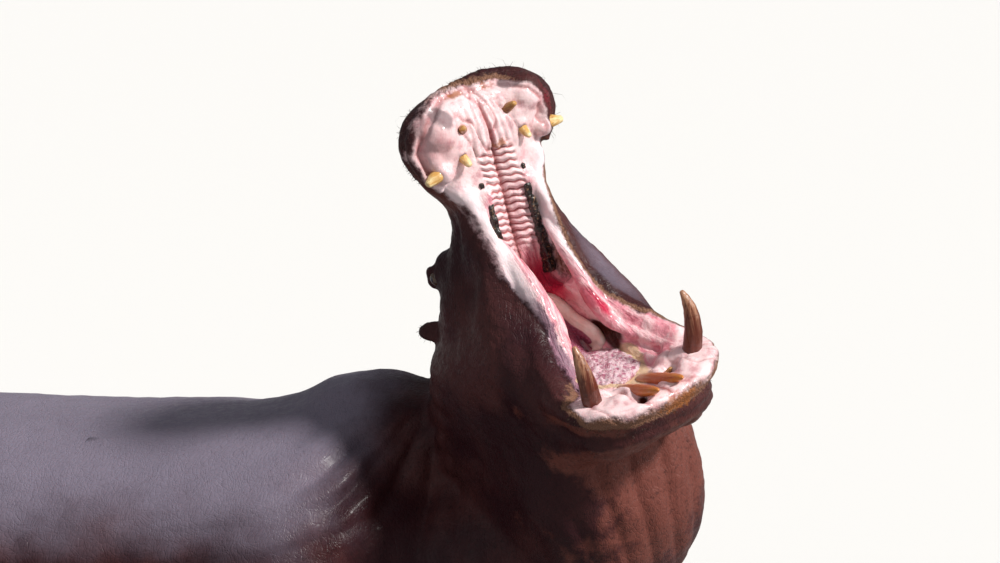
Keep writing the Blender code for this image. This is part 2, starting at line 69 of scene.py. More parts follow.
HEAD_TURN = 40.0  # the head looks this far to the animal's right
HEAD_ROLL = 16.4
GAPE = 88.0
EYE_AHEAD = 0.128  # the eyes' place over the jaw joint, in the upper jaw's frame
EYE_RISE = 0.146
SIDES = ((1, "left"), (-1, "right"))
WORLD = Matrix.Identity(4)


def turned(degrees, axis):
    return Matrix.Rotation(math.radians(degrees), 4, axis)


def middle(node):
    low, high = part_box(node)
    return (low + high) / 2


FACING = turned(-90 - HEAD_TURN, "Z") @ turned(HEAD_ROLL, "X")
EYES_FROM_JOINT = FACING @ turned(-GAPE, "Y") @ Vector((EYE_AHEAD, 0, EYE_RISE))
JAW_JOINT = (middle("eye_left") + middle("eye_right")) / 2 - EYES_FROM_JOINT
LOWER = Matrix.Translation(JAW_JOINT) @ FACING
UPPER = LOWER @ turned(-GAPE, "Y")


def sided(point, side):
    return Vector((point[0], point[1] * side, point[2]))


# --- Handling objects ---


def deselect():
    bpy.ops.object.select_all(action="DESELECT")


def activate(*objects):
    deselect()
    for obj in objects:
        obj.select_set(True)
    bpy.context.view_layer.objects.active = objects[0]


@contextmanager
def editing(obj):
    """Edit mode with all of obj selected."""
    activate(obj)
    bpy.ops.object.mode_set(mode="EDIT")
    bpy.ops.mesh.select_all(action="SELECT")
    yield
    bpy.ops.object.mode_set(mode="OBJECT")


def settled(obj, place=WORLD):
    """Moves obj to its place and leaves that place in its mesh."""
    activate(obj)
    obj.matrix_world = place
    bpy.ops.object.transform_apply(location=True, rotation=True, scale=True)
    return obj


def modified(obj, kind, **settings):
    """Adds a modifier and applies it at once."""
    activate(obj)
    modifier = obj.modifiers.new(kind.lower(), kind)
    for name, value in settings.items():
        setattr(modifier, name, value)
    bpy.ops.object.modifier_apply(modifier=modifier.name)
    return obj


def smoothed(obj, rounds, group=""):
    return modified(obj, "SMOOTH", factor=0.5, iterations=rounds, vertex_group=group)


def remeshed(obj, voxel):
    """One closed surface round everything in obj."""
    return modified(obj, "REMESH", mode="VOXEL", voxel_size=voxel)


def joined(objects):
    activate(*objects)
    bpy.ops.object.join()
    return bpy.context.active_object


def copy_of(node):
    """A fresh mesh with a CAD node's merged faces."""
    deselect()
    bpy.ops.mesh.primitive_plane_add(size=0.001)
    holder = bpy.context.active_object
    with editing(holder):
        bpy.ops.mesh.delete(type="VERT")
    activate(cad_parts[node])
    bpy.ops.object.duplicate()
    copy = bpy.context.active_object
    copy.parent = None
    copy.matrix_world = WORLD
    copy.data.materials.clear()
    made = joined([holder, copy])
    with editing(made):
        bpy.ops.mesh.remove_doubles(threshold=1e-5)
    return made


def swollen(obj, amount):
    with editing(obj):
        bpy.ops.transform.shrink_fatten(value=amount)
    return obj


def finished(piece, material, slot, *nodes):
    """Shades a piece smooth, gives it its material, hangs it from the root and hides the nodes it replaces.
    The slot is not used.
    """
    activate(piece)
    bpy.ops.object.shade_smooth()
    piece.data.materials.append(material)
    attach(piece, "root")
    if nodes:
        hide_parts(*nodes)


def lump(place, centre, radii, turn=WORLD):
    """A ball or egg of clay."""
    deselect()
    bpy.ops.mesh.primitive_uv_sphere_add(segments=32, ring_count=20, radius=1)
    shape = Matrix.Diagonal((*radii, 1))
    return settled(bpy.context.active_object, place @ Matrix.Translation(centre) @ turn @ shape)


def roll(place, points, radii, side=1):
    """A round roll of clay along a smooth line."""
    deselect()
    bpy.ops.curve.primitive_bezier_curve_add()
    obj = bpy.context.active_object
    curve = obj.data
    curve.bevel_depth = 1
    curve.bevel_resolution = 6
    curve.resolution_u = 8
    curve.use_fill_caps = True
    spline = curve.splines[0]
    spline.bezier_points.add(len(points) - 2)
    for knot, point, radius in zip(spline.bezier_points, points, radii):
        knot.co = sided(point, side)
        knot.radius = radius
        knot.handle_left_type = "AUTO"
        knot.handle_right_type = "AUTO"
    bpy.ops.object.convert(target="MESH")
    return settled(obj, place)


# --- Numbers over a mesh ---


def rows_of(elements, name):
    found = np.empty(len(elements) * 3, np.float32)
    elements.foreach_get(name, found)
    return found.reshape(-1, 3).astype(float)


def places(mesh):
    return rows_of(mesh.vertices, "co")


def normals(mesh):
    return rows_of(mesh.vertex_normals, "vector")


def move(mesh, found):
    mesh.vertices.foreach_set("co", found.astype(np.float32).ravel())
    mesh.update()


def raised(obj, heights):
    """Moves each vertex out along its normal."""
    move(obj.data, places(obj.data) + normals(obj.data) * heights[:, None])


def seen_from(place, points):
    """World points, given in a frame."""
    return (points - np.array(place.translation)) @ np.array(place.to_3x3())


def in_jaws(points):
    """World points, given in the upper jaw's frame and in the lower jaw's."""
    return seen_from(UPPER, points), seen_from(LOWER, points)


def turned_into(place, directions):
    return directions @ np.array(place.to_3x3())


def ramp(value, low, high):
    """0 below low and 1 above high, with a smooth rise between; low may be the greater."""
    share = np.clip((value - low) / (high - low), 0, 1)
    return share * share * (3 - 2 * share)


def span(value, start, rise, fall, end):
    """0 outside start and end and 1 between rise and fall."""
    return ramp(value, start, rise) * ramp(value, end, fall)


def bell(value, centre, width):
    return np.exp(-(((value - centre) / width) ** 2))


def patch(points, centre, radii):
    """1 at the centre and fading out over an egg of those radii."""
    away = (points - np.array(centre)) / np.array(radii)
    return np.exp(-(away**2).sum(1))


def twin(points, centre, radii):
    """The same patch on the left and on the right."""
    return sum(patch(points, sided(centre, side), radii) for side, _ in SIDES)


def capped(values):
    return np.clip(values, 0, 1)


def paint(obj, name, values):
    """Leaves a number, or a row of three, on each vertex for the materials."""
    kind, entry = ("FLOAT", "value") if values.ndim == 1 else ("FLOAT_VECTOR", "vector")
    layer = obj.data.attributes.new(name, kind, "POINT")
    layer.data.foreach_set(entry, values.astype(np.float32).ravel())


def weighted(obj, name, values, steps=24):
    """A vertex group with those weights."""
    group = obj.vertex_groups.new(name=name)
    levels = np.rint(capped(values) * steps).astype(int)
    for level in range(1, steps + 1):
        members = np.nonzero(levels == level)[0]
        if len(members):
            group.add(members.tolist(), level / steps, "REPLACE")


def rumple(points, scale, seed=0):
    """Smooth noise between -1 and 1 at each point."""
    shift = Vector((seed * 7.3, seed * 3.1, seed * 5.7))
    return np.array([noise.noise(Vector(point) * scale + shift) for point in points])


def valleys(phase, width):
    """0 on rounded rolls and down to -1 in the narrow valleys at whole numbers."""
    return -bell(phase, np.rint(phase), width)


def spread(mesh, values, rounds):
    """Values averaged with their neighbours'."""
    edges = np.empty(len(mesh.edges) * 2, np.int32)
    mesh.edges.foreach_get("vertices", edges)
    first, last = edges.reshape(-1, 2).T
    size = len(values)
    count = np.bincount(first, minlength=size) + np.bincount(last, minlength=size)
    for _ in range(rounds):
        total = np.bincount(first, values[last], size) + np.bincount(last, values[first], size)
        values = (values + total / np.maximum(count, 1)) / 2
    return values


# --- Clay for the mouth, gums and eyes ---

FLESH = ("head", "jaw", "neck", "trunk", "tail", "ear_left", "ear_right")
FLESH += tuple(f"leg_{pair}_{word}" for pair in ("front", "hind") for _, word in SIDES)
SKIN_VOXEL = 0.0054
ROUNDS = (0.0058 / SKIN_VOXEL) ** 2  # rounds of smoothing that reach as far as one at a voxel of 5.8 mm
SKIN_TRIANGLES = 195000
SWELLING = 0.0015

# The edge of the mouth on the left: the upper lip from its middle to the fold, in the upper jaw's frame,
# then the fold at the corner and the lower lip to its middle, in the lower jaw's frame. After each point
# stands how far the lining laps out there, on the left and on the right.
UPPER_RIM = (
    ((0.652, 0.0, 0.05), 0.0, 0.01),
    ((0.645, 0.09, 0.043), -0.006, 0.026),
    ((0.612, 0.17, 0.02), -0.026, 0.026),
    ((0.56, 0.213, 0.0), -0.042, 0.018),
    ((0.5, 0.208, -0.014), -0.046, 0.008),
    ((0.44, 0.17, -0.022), -0.024, 0.006),
)
FOLD_RIM = (
    ((0.042, 0.116, 0.385), 0.01, 0.02),
    ((0.066, 0.1, 0.32), 0.01, 0.024),
    ((0.1, 0.094, 0.25), -0.004, 0.028),
    ((0.125, 0.098, 0.18), -0.022, 0.034),
    ((0.158, 0.106, 0.09), -0.03, 0.01),
    ((0.22, 0.128, 0.008), -0.03, -0.034),
    ((0.315, 0.168, -0.055), -0.026, -0.05),
    ((0.42, 0.21, -0.085), -0.012, -0.055),
)
LOWER_RIM = (
    ((0.47, 0.226, -0.086), 0.008, -0.015),
    ((0.535, 0.2, -0.093), 0.028, 0.026),
    ((0.588, 0.12, -0.1), 0.036, 0.038),
    ((0.607, 0.0, -0.104), 0.034, 0.036),
)
PALATE = (0.165, 0.485)  # where the ridges of the palate start and end, ahead of the jaw joint
PALATE_HALF = 0.058
RIDGE_PITCH = 0.0202
MOLARS = 6
MOLAR_ROW = ((0.125, 0.068, -0.066), (0.35, 0.062, -0.058))  # the upper row's ends
FIRST_PREMOLAR = (0.414, 0.07, -0.052)

# The lips' radii, from the middle of each lip to its ends.
UPPER_LIP_RADII = (0.024, 0.026, 0.026, 0.024, 0.02, 0.016)
LOWER_LIP_RADII = (0.026, 0.027, 0.026, 0.022)
# The web inside a cheek, from the upper jaw down to the lower lip, with its radii on the right.
WEB = (
    ((0.09, 0.085, 0.26), 0.02),
    ((0.13, 0.08, 0.21), 0.028),
    ((0.19, 0.078, 0.13), 0.036),
    ((0.24, 0.077, 0.045), 0.04),
    ((0.285, 0.092, -0.02), 0.034),
    ((0.345, 0.13, -0.06), 0.026),
    ((0.41, 0.17, -0.09), 0.02),
)
LEFT_WEB = 0.6  # the left web's radii against the right one's
# Lumps of the gums: in each jaw's frame, the middle of the lump and its radii.
UPPER_GUM = (
    ((0.585, 0.145, -0.012), (0.058, 0.056, 0.054)),
    ((0.53, 0.18, -0.02), (0.05, 0.03, 0.034)),
    ((0.487, 0.166, -0.036), (0.03, 0.034, 0.032)),
    ((0.612, 0.052, 0.012), (0.032, 0.04, 0.042)),
    ((0.55, 0.028, -0.018), (0.062, 0.02, 0.03)),
    ((0.52, 0.1, -0.03), (0.03, 0.026, 0.028)),
    ((0.563, 0.075, -0.01), (0.03, 0.03, 0.03)),
)
LOWER_GUM = (
    ((0.49, 0.16, -0.105), (0.055, 0.048, 0.034)),
    ((0.545, 0.115, -0.108), (0.042, 0.045, 0.034)),
    ((0.5, 0.062, -0.118), (0.05, 0.028, 0.03)),
    ((0.57, 0.04, -0.116), (0.034, 0.036, 0.032)),
    ((0.46, 0.115, -0.112), (0.045, 0.034, 0.032)),
    ((0.425, 0.16, -0.108), (0.034, 0.034, 0.03)),
    ((0.585, 0.085, -0.112), (0.022, 0.026, 0.026)),
    ((0.37, 0.05, -0.137), (0.1, 0.08, 0.034)),
)
# Rolls of an eyelid, from end to end: degrees round the eyeball with the roll's radius there.
LID_EDGE = ((-84, 0.006), (-60, 0.007), (-30, 0.0075), (0, 0.0075), (30, 0.0075), (60, 0.007), (84, 0.006))
LID_FOLD = ((-80, 0.008), (-40, 0.013), (0, 0.014), (40, 0.013), (80, 0.008))
# Each roll's tilt over or under the eye, and its distance from the eye's middle over the eye's radius.
LIDS = ((50, 1.0, LID_EDGE), (-46, 1.0, LID_EDGE), (80, 1.12, LID_FOLD), (-76, 1.12, LID_FOLD))
NOSTRIL = (
    ((0.59, 0.06, 0.112), 0.012),
    ((0.605, 0.075, 0.112), 0.016),
    ((0.6, 0.1, 0.112), 0.016),
    ((0.578, 0.118, 0.108), 0.01),
)


def both_ways(points):
    """A line from its left end through the middle, which is its first point, to its right end."""
    left = [sided(point, 1) for point in reversed(points[1:])]
    return [*left, Vector(points[0]), *(sided(point, -1) for point in points[1:])]


def mouth_block():
    """The room between the two rows of cheek teeth."""
    deselect()
    bpy.ops.mesh.primitive_cube_add(size=1)
    block = modified(bpy.context.active_object, "BEVEL", width=0.12, segments=4)
    room = Matrix.Translation((0.225, 0, -0.177)) @ Matrix.Diagonal((0.31, 0.172, 0.24, 1))
    return settled(block, UPPER @ room)


def lip_clay():
    """Raised edges round the mouth, and the ridges that carry the upper cheek teeth."""
    upper = both_ways([point for point, *_ in UPPER_RIM])
    lower = both_ways([(x + 0.004, y * 1.01, z - 0.016) for (x, y, z), *_ in reversed(LOWER_RIM)])
    pieces = [roll(UPPER, upper, (*reversed(UPPER_LIP_RADII[1:]), *UPPER_LIP_RADII))]
    pieces.append(roll(LOWER, lower, (*reversed(LOWER_LIP_RADII[1:]), *LOWER_LIP_RADII)))
    ridge = [(MOLAR_ROW[0][0] - 0.03, 0.07, -0.05)]
    ridge += [(x, y, z + 0.012) for x, y, z in MOLAR_ROW]
    ridge.append((0.43, 0.07, -0.04))
    for side, _ in SIDES:
        pieces.append(roll(UPPER, ridge, (0.01, 0.015, 0.016, 0.01), side))
        points, radii = zip(*WEB)
        share = LEFT_WEB if side > 0 else 1
        pieces.append(roll(LOWER, points, [radius * share for radius in radii], side))
    return pieces


def gum_clay():
    """Swellings round the roots of the front teeth, and the pads behind the upper lip."""
    jaws = ((UPPER, UPPER_GUM), (LOWER, LOWER_GUM))
    return [
        lump(place, sided(centre, side), radii)
        for side, _ in SIDES
        for place, lumps in jaws
        for centre, radii in lumps
    ]


def eye_place(word):
    """An eyeball's middle and radius in the upper jaw's frame."""
    low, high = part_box(f"eye_{word}")
    return UPPER.inverted() @ ((low + high) / 2), max(high - low) / 2


def lid_clay():
    """Eyelids that lie on the eyeballs, and the raised edges of the nostrils."""
    pieces = []
    for side, word in SIDES:
        centre, radius = eye_place(word)
        for tilt, reach, line in LIDS:
            arc = []
            for degrees, _ in line:
                angle = math.radians(degrees)
                latitude = math.radians(tilt) * math.cos(angle)
                out = math.cos(angle) * math.cos(latitude) * side
                way = Vector((math.sin(angle), out, math.cos(angle) * math.sin(latitude)))
                arc.append(centre + way * radius * reach)
            pieces.append(roll(UPPER, arc, [thickness for _, thickness in line]))
        pieces.append(roll(UPPER, *zip(*NOSTRIL), side))
    return pieces


# --- The edge of the mouth ---

MOUTH_VIEWS = ((0.12, 0.0, 0.1), (0.26, 0.0, 0.1), (0.12, 0.0, 0.3), (0.2, 0.05, 0.2), (0.2, -0.05, 0.2))


def way_out(line, point, side):
    """The way out of the mouth at a point of its edge, in that jaw's frame."""
    bulge = max(0.0, point[0] - 0.45) / 0.1
    if line == UPPER_RIM:
        return Vector((bulge, side * point[1] * 5, 0.45))
    if line == LOWER_RIM:
        return Vector((bulge * 0.5, side * point[1] * 2.5, -0.75))
    return Vector((0, side, -0.9 * max(0.0, point[0] - 0.25) / 0.17))


def rim_points():
    """The edge of the mouth as one line in the world: each point with the way out and the lap."""
    rows = []
    for side, _ in SIDES:
        half = []
        for place, line in ((UPPER, UPPER_RIM), (LOWER, FOLD_RIM), (LOWER, LOWER_RIM)):
            for point, left_lap, right_lap in line:
                out = (place.to_3x3() @ way_out(line, point, side)).normalized()
                lap = left_lap if side > 0 else right_lap
                half.append((place @ sided(point, side), out, lap))
        rows += half if side > 0 else half[::-1]
    return rows


def rim_measure(points):
    """Each point's distance outside the edge of the mouth, negative inside it, and the lap there.

    The third value runs along the edge.
    """
    rows = rim_points()
    count = len(points)
    best, found, laps, run = np.full(count, 1e9), np.zeros(count), np.zeros(count), np.zeros(count)
    length = 0.0
    for (a, out_a, lap_a), (b, out_b, lap_b) in zip(rows, rows[1:]):
        a, b, out_a, out_b = (np.array(value) for value in (a, b, out_a, out_b))
        along = b - a
        share = np.clip(((points - a) @ along) / max(along @ along, 1e-12), 0, 1)[:, None]
        away = points - a - share * along
        distance = np.linalg.norm(away, axis=1)
        outward = 1.4 * np.einsum("ij,ij->i", away, out_a + (out_b - out_a) * share)
        nearer = distance < best
        best[nearer] = distance[nearer]
        found[nearer] = np.clip(outward, -distance, distance)[nearer]
        laps[nearer] = (lap_a + (lap_b - lap_a) * share[:, 0])[nearer]
        run[nearer] = (length + np.linalg.norm(along) * share[:, 0])[nearer]
        length += np.linalg.norm(along)
    upper, lower = in_jaws(points)
    top = 0.03 + 0.055 * ramp(upper[:, 0], 0.42, 0.5)
    away_from_mouth = (lower[:, 2] < -0.19) | (lower[:, 0] < -0.06) | (upper[:, 2] > top)
    found[away_from_mouth] = best[away_from_mouth]
    return found, laps, run


def seen_from_mouth(mesh, points, facing, chosen):
    """For the chosen vertices, 1 where the middle of the mouth can see them."""
    tree = BVHTree.FromPolygons([Vector(p) for p in points], [tuple(f.vertices) for f in mesh.polygons])
    eyes = [LOWER @ Vector(view) for view in MOUTH_VIEWS]
    seen = np.zeros(len(points))
    for index in chosen:
        start = Vector(points[index]) + Vector(facing[index]) * 0.004
        for eye in eyes:
            way = eye - start
            if tree.ray_cast(start, way.normalized(), way.length)[0] is None:
                seen[index] = 1
                break
    return seen


# --- Skin ---

HEAD_MIDDLE = (0.25, 0.0, 0.1)  # in the lower jaw's frame
EAR_ROOT = (-0.035, 0.17, 0.2)  # in the upper jaw's frame
# Sockets of the front teeth, in each jaw's frame.
UPPER_SOCKETS = ((0.562, 0.067, -0.012), (0.511, 0.0997, -0.045), (0.49, 0.19, -0.05))
LOWER_SOCKETS = ((0.508, 0.089, -0.1), (0.5, 0.036, -0.105), (0.515, 0.174, -0.09))
# Hollows of the lower gum that have no twin: depth, middle and radii.
GUM_HOLLOWS = (
    (0.012, (0.539, 0.084, -0.085), (0.008, 0.008, 0.03)),
    (0.01, (0.505, 0.068, -0.09), (0.03, 0.02, 0.04)),
    (0.03, (0.567, -0.052, -0.095), (0.022, 0.018, 0.05)),
    (0.026, (0.59, -0.072, -0.1), (0.018, 0.018, 0.05)),
)
# Painted shade in those hollows and in two sockets: middle and radii.
GUM_HOLLOW_SHADES = (
    ((0.539, 0.084, -0.095), (0.009, 0.009, 0.02)),
    ((0.567, -0.052, -0.118), (0.02, 0.016, 0.022)),
    ((0.588, -0.07, -0.122), (0.018, 0.017, 0.028)),
)
# Brown stains on the gums and lips, in the upper jaw's frame: strength, middle and radii.
UPPER_STAINS = (
    (1.0, (0.65, -0.045, 0.03), (0.013, 0.028, 0.03)),
    (1.0, (0.643, 0.05, 0.03), (0.013, 0.028, 0.03)),
    (0.75, (0.5, 0.018, -0.04), (0.02, 0.032, 0.03)),
)


def from_point(points, centre):
    return np.linalg.norm(points - np.array(centre), axis=1)


def fused_skin():
    """The flesh of every part as one closed surface, smoothed, with the clay added to it."""
    room = mouth_block()
    head = modified(copy_of("head"), "BOOLEAN", operation="DIFFERENCE", solver="EXACT", object=room)
    bpy.data.objects.remove(room)
    flesh = [swollen(part, SWELLING) for part in (head, *(copy_of(name) for name in FLESH[1:]))]
    base = remeshed(joined(flesh), SKIN_VOXEL)
    relaxed(base)
    skin = joined([base, *lip_clay(), *gum_clay(), *lid_clay()])
    skin.name = "skin"
    smoothed(remeshed(skin, SKIN_VOXEL), 5)
    lower = seen_from(LOWER, places(skin.data))
    weighted(skin, "gums", ramp(lower[:, 0], 0.38, 0.44) * span(lower[:, 2], -0.2, -0.14, -0.04, 0.0))
    smoothed(skin, round(28 * ROUNDS), "gums")
    skin.vertex_groups.clear()
    return skin


def relaxed(skin):
    """Takes the facets out: broadly over the body, less over the head and least at the eyes and ears."""
    points = places(skin.data)
    upper, lower = in_jaws(points)
    from_rim = np.abs(rim_measure(points)[0])
    body = ramp(from_point(lower, (0.2, 0, 0)), 0.55, 0.85)
    feet = ramp(points[:, 2], 0.16, 0.06)
    tail_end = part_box("tail")[1].y
    tail = ramp(points[:, 1], tail_end - 0.13, tail_end - 0.08) * ramp(points[:, 2], 1.0, 0.85)
    weighted(skin, "body", body * (1 - 0.7 * feet) * (1 - 0.96 * tail))
    head = (0.3 + 0.7 * ramp(from_rim, 0.03, 0.14)) * (1 - body)
    for side, _ in SIDES:
        head *= 1 - 0.9 * patch(upper, sided((EYE_AHEAD, 0.15, EYE_RISE), side), (0.06, 0.04, 0.05))
        head *= 1 - patch(upper, sided(EAR_ROOT, side), (0.06, 0.06, 0.07))
    weighted(skin, "head", head)
    smoothed(skin, 4)
    smoothed(skin, round(260 * ROUNDS), "body")
    smoothed(skin, round(60 * ROUNDS), "head")
    skin.vertex_groups.clear()


def on_palate(upper, facing):
    ahead, across, up = upper.T
    inside = ramp(np.abs(across), PALATE_HALF + 0.004, PALATE_HALF - 0.008)
    inside *= span(ahead, PALATE[0], PALATE[0] + 0.07, PALATE[1], PALATE[1] + 0.02)
    return inside * ramp(up, -0.1, -0.07) * ramp(facing[:, 2], -0.25, -0.6)


def ridge_phase(upper):
    """Counts the ridges of the palate, which slant forward on the right and run across on the left."""
    ahead, across, _ = upper.T
    slant = np.where(across < 0, -0.7 * across - 4 * across**2, 0.15 * across - 5 * across**2)
    waver = 0.0016 * np.sin(ahead * 90 + across * 40) + 0.0022 * np.sin(across * 210 + ahead * 37)
    return (ahead - slant + waver) / RIDGE_PITCH


def palate_relief(upper, facing):
    across = np.abs(upper[:, 1])
    phase = ridge_phase(upper)
    ridges = (0.0055 + 0.0022 * np.sin(phase * 2.1 + across * 60)) * valleys(phase, 0.27)
    halves = 0.009 * bell(across, 0.03, 0.02)
    groove = -0.007 * bell(across, 0.0, 0.006)
    return on_palate(upper, facing) * (ridges + halves + groove)


def trench(lower):
    """The deep fold between the tongue and either cheek."""
    ahead, across, up = lower.T
    along = span(ahead, 0.08, 0.14, 0.25, 0.33) * ramp(up, 0.0, -0.04)
    return along * bell(np.abs(across), 0.098, 0.016)


def fissures(upper, lower):
    """Winding creases of the gums, 1 in the bottom of each: along the upper cleft, every way below."""
    pads = ramp(upper[:, 0], 0.46, 0.5) * ramp(np.abs(upper[:, 1]), 0.12, 0.05)
    floor = 0.6 * ramp(lower[:, 0], 0.38, 0.44) * ramp(lower[:, 2], -0.16, -0.13)
    found = np.zeros(len(upper))
    kinds = ((pads, upper, (11, 34, 11), 0.09, 11), (floor, lower, (13, 13, 13), 0.07, 12))
    for mask, place, stretch, width, seed in kinds:
        chosen = np.nonzero(mask > 0.01)[0]
        wave = rumple(place[chosen] * np.array(stretch), 1, seed)
        found[chosen] += bell(wave, 0.0, width) * mask[chosen]
    return found


def mouth_relief(upper, lower):
    """The cleft and pleats of the gums, tooth sockets and the folds beside the tongue."""
    ahead, across = upper[:, 0], np.abs(upper[:, 1])
    gum = span(ahead, 0.46, 0.5, 0.62, 0.66)
    relief = -0.009 * gum * bell(across, 0.0, 0.005)
    relief += 0.004 * gum * ramp(across, 0.1, 0.05) * valleys(across / 0.021 + ahead * 4, 0.2)
    relief -= 0.0055 * fissures(upper, lower) + 0.03 * trench(lower)
    for socket in UPPER_SOCKETS:
        relief -= 0.007 * twin(upper, socket, (0.016, 0.016, 0.02))
    relief -= 0.024 * twin(lower, LOWER_SOCKETS[0], (0.026, 0.023, 0.035))
    for depth, centre, radii in GUM_HOLLOWS:
        relief -= depth * patch(lower, centre, radii)
    return relief


def fan(points, hub, spokes, reach, side):
    """Folds that run down and back from a hub on one flank, one in every so many degrees."""
    away = points - np.array((hub[0] * side, hub[1], hub[2]))
    distance = np.hypot(away[:, 1], away[:, 2])
    angle = np.degrees(np.arctan2(away[:, 1], -away[:, 2]))
    flank = ramp(points[:, 0] * side, 0.08, 0.2)
    near = span(distance, 0.04, 0.14, reach * 0.45, reach)
    return flank * near * span(angle, -24, -8, 66, 88) * valleys(angle / spokes, 0.22)


def hide_relief(points, upper, lower):
    """Folds of the shoulders, throat, nape, legs and chin."""
    ahead, across, up = lower.T
    relief = 0.016 * fan(points, (0.3, -0.86, 1.47), 17, 0.62, -1)
    relief += 0.014 * fan(points, (0.3, -0.62, 1.42), 18, 0.6, 1)
    throat = span(up, -0.9, -0.7, -0.32, -0.2) * ramp(ahead, 0.12, 0.26)
    strands = across / 0.09 + 0.9 * (up + 0.3) + 0.3 + 0.25 * np.sin(up * 9 + across * 5)
    relief += 0.007 * throat * valleys(strands, 0.18)
    nape = span(upper[:, 0], -0.5, -0.4, -0.2, -0.1) * span(upper[:, 2], 0.0, 0.1, 0.35, 0.5)
    relief += 0.008 * nape * valleys(upper[:, 0] / 0.07, 0.24)
    shin = span(points[:, 2], 0.1, 0.17, 0.3, 0.42)
    relief += 0.006 * shin * valleys(points[:, 2] / 0.052 + 0.5 * points[:, 0], 0.25)
    chin = ramp(ahead, 0.3, 0.42) * span(up, -0.33, -0.25, -0.16, -0.13)
    relief += 0.005 * chin * valleys(up / 0.048 + across, 0.25)
    return relief


def cup_relief(upper, facing):
    """Hollows of the ears' fronts and of the nostrils."""
    cups = twin(upper, (-0.02, 0.168, 0.195), (0.03, 0.028, 0.04)) * ramp(facing[:, 0], 0.1, 0.6)
    return -0.011 * (cups + twin(upper, (0.602, 0.088, 0.125), (0.016, 0.026, 0.03)))


def sculpted(skin):
    points, facing = places(skin.data), normals(skin.data)
    upper, lower = in_jaws(points)
    relief = hide_relief(points, upper, lower)
    relief += 0.004 * rumple(points, 7) + 0.0022 * rumple(points, 19, 1)
    head = from_point(lower, HEAD_MIDDLE) < 0.75
    upper, lower, up_facing = upper[head], lower[head], turned_into(UPPER, facing[head])
    relief[head] += palate_relief(upper, up_facing) + cup_relief(upper, up_facing)
    relief[head] += mouth_relief(upper, lower) + 0.0016 * rumple(points[head], 60, 2)
    outside, lap, _ = rim_measure(points[head])
    welt = ramp(upper[:, 0], 0.42, 0.5) * bell(outside - lap, -0.018, 0.008)
    relief[head] -= (0.006 + 0.006 * ramp(upper[:, 1], -0.08, -0.14)) * welt
    relief *= ramp(points[:, 2], 0.0, 0.05)
    moved = points + facing * relief[:, None]
    moved[:, 2] = np.maximum(moved[:, 2], 0.0)
    move(skin.data, moved)


def thinned(skin):
    """Fewer faces on the body than on the head."""
    away = from_point(seen_from(LOWER, places(skin.data)), HEAD_MIDDLE)
    weighted(skin, "thin", ramp(away, 0.4, 0.9) * 0.97 + 0.03)
    ratio = min(1.0, SKIN_TRIANGLES / (2 * len(skin.data.polygons)))
    modified(skin, "DECIMATE", ratio=ratio, vertex_group="thin", vertex_group_factor=0.001)
    skin.vertex_groups.clear()


def throat_share(upper, lower, outside):
    """Where the lining deepens to crimson: the throat and the inner cheeks beside the upper cheek teeth."""
    up = lower[:, 2]
    share = 0.55 * patch(lower, (0.04, 0.0, 0.1), (0.07, 0.08, 0.08))
    share += 0.95 * twin(lower, (0.08, 0.085, 0.11), (0.055, 0.028, 0.12))
    cheeks = ramp(upper[:, 0], 0.36, 0.08) * ramp(np.abs(upper[:, 1]), 0.064, 0.084)
    cheeks *= ramp(outside, -0.052, -0.08) * ramp(upper[:, 2], 0.1, 0.0)
    share += 0.9 * cheeks * ramp(up, -0.03, 0.06)
    share += 0.5 * ramp(upper[:, 0], 0.2, 0.06) * ramp(outside, -0.04, -0.06) * ramp(up, -0.02, 0.05)
    near_fold = capped(1.6 * patch(lower, (0.25, -0.08, 0.03), (0.13, 0.04, 0.11)))
    return share * ramp(outside, -0.03, -0.055) * (1 - near_fold)


def mucus_share(upper, lower):
    """Where the gums are filmed yellow: round the tongue, behind the lower incisors and at the cleft."""
    ahead, across, up = lower.T
    from_tongue = np.hypot((ahead - 0.305) / 0.11, across / 0.085)
    share = bell(from_tongue, 1.15, 0.2) * ramp(ahead, 0.24, 0.3) * ramp(up, -0.06, -0.09)
    share += 0.3 * patch(upper, (0.55, 0.0, 0.0), (0.08, 0.05, 0.06))
    return share + 0.8 * patch(lower, (0.46, 0.02, -0.11), (0.04, 0.06, 0.04))


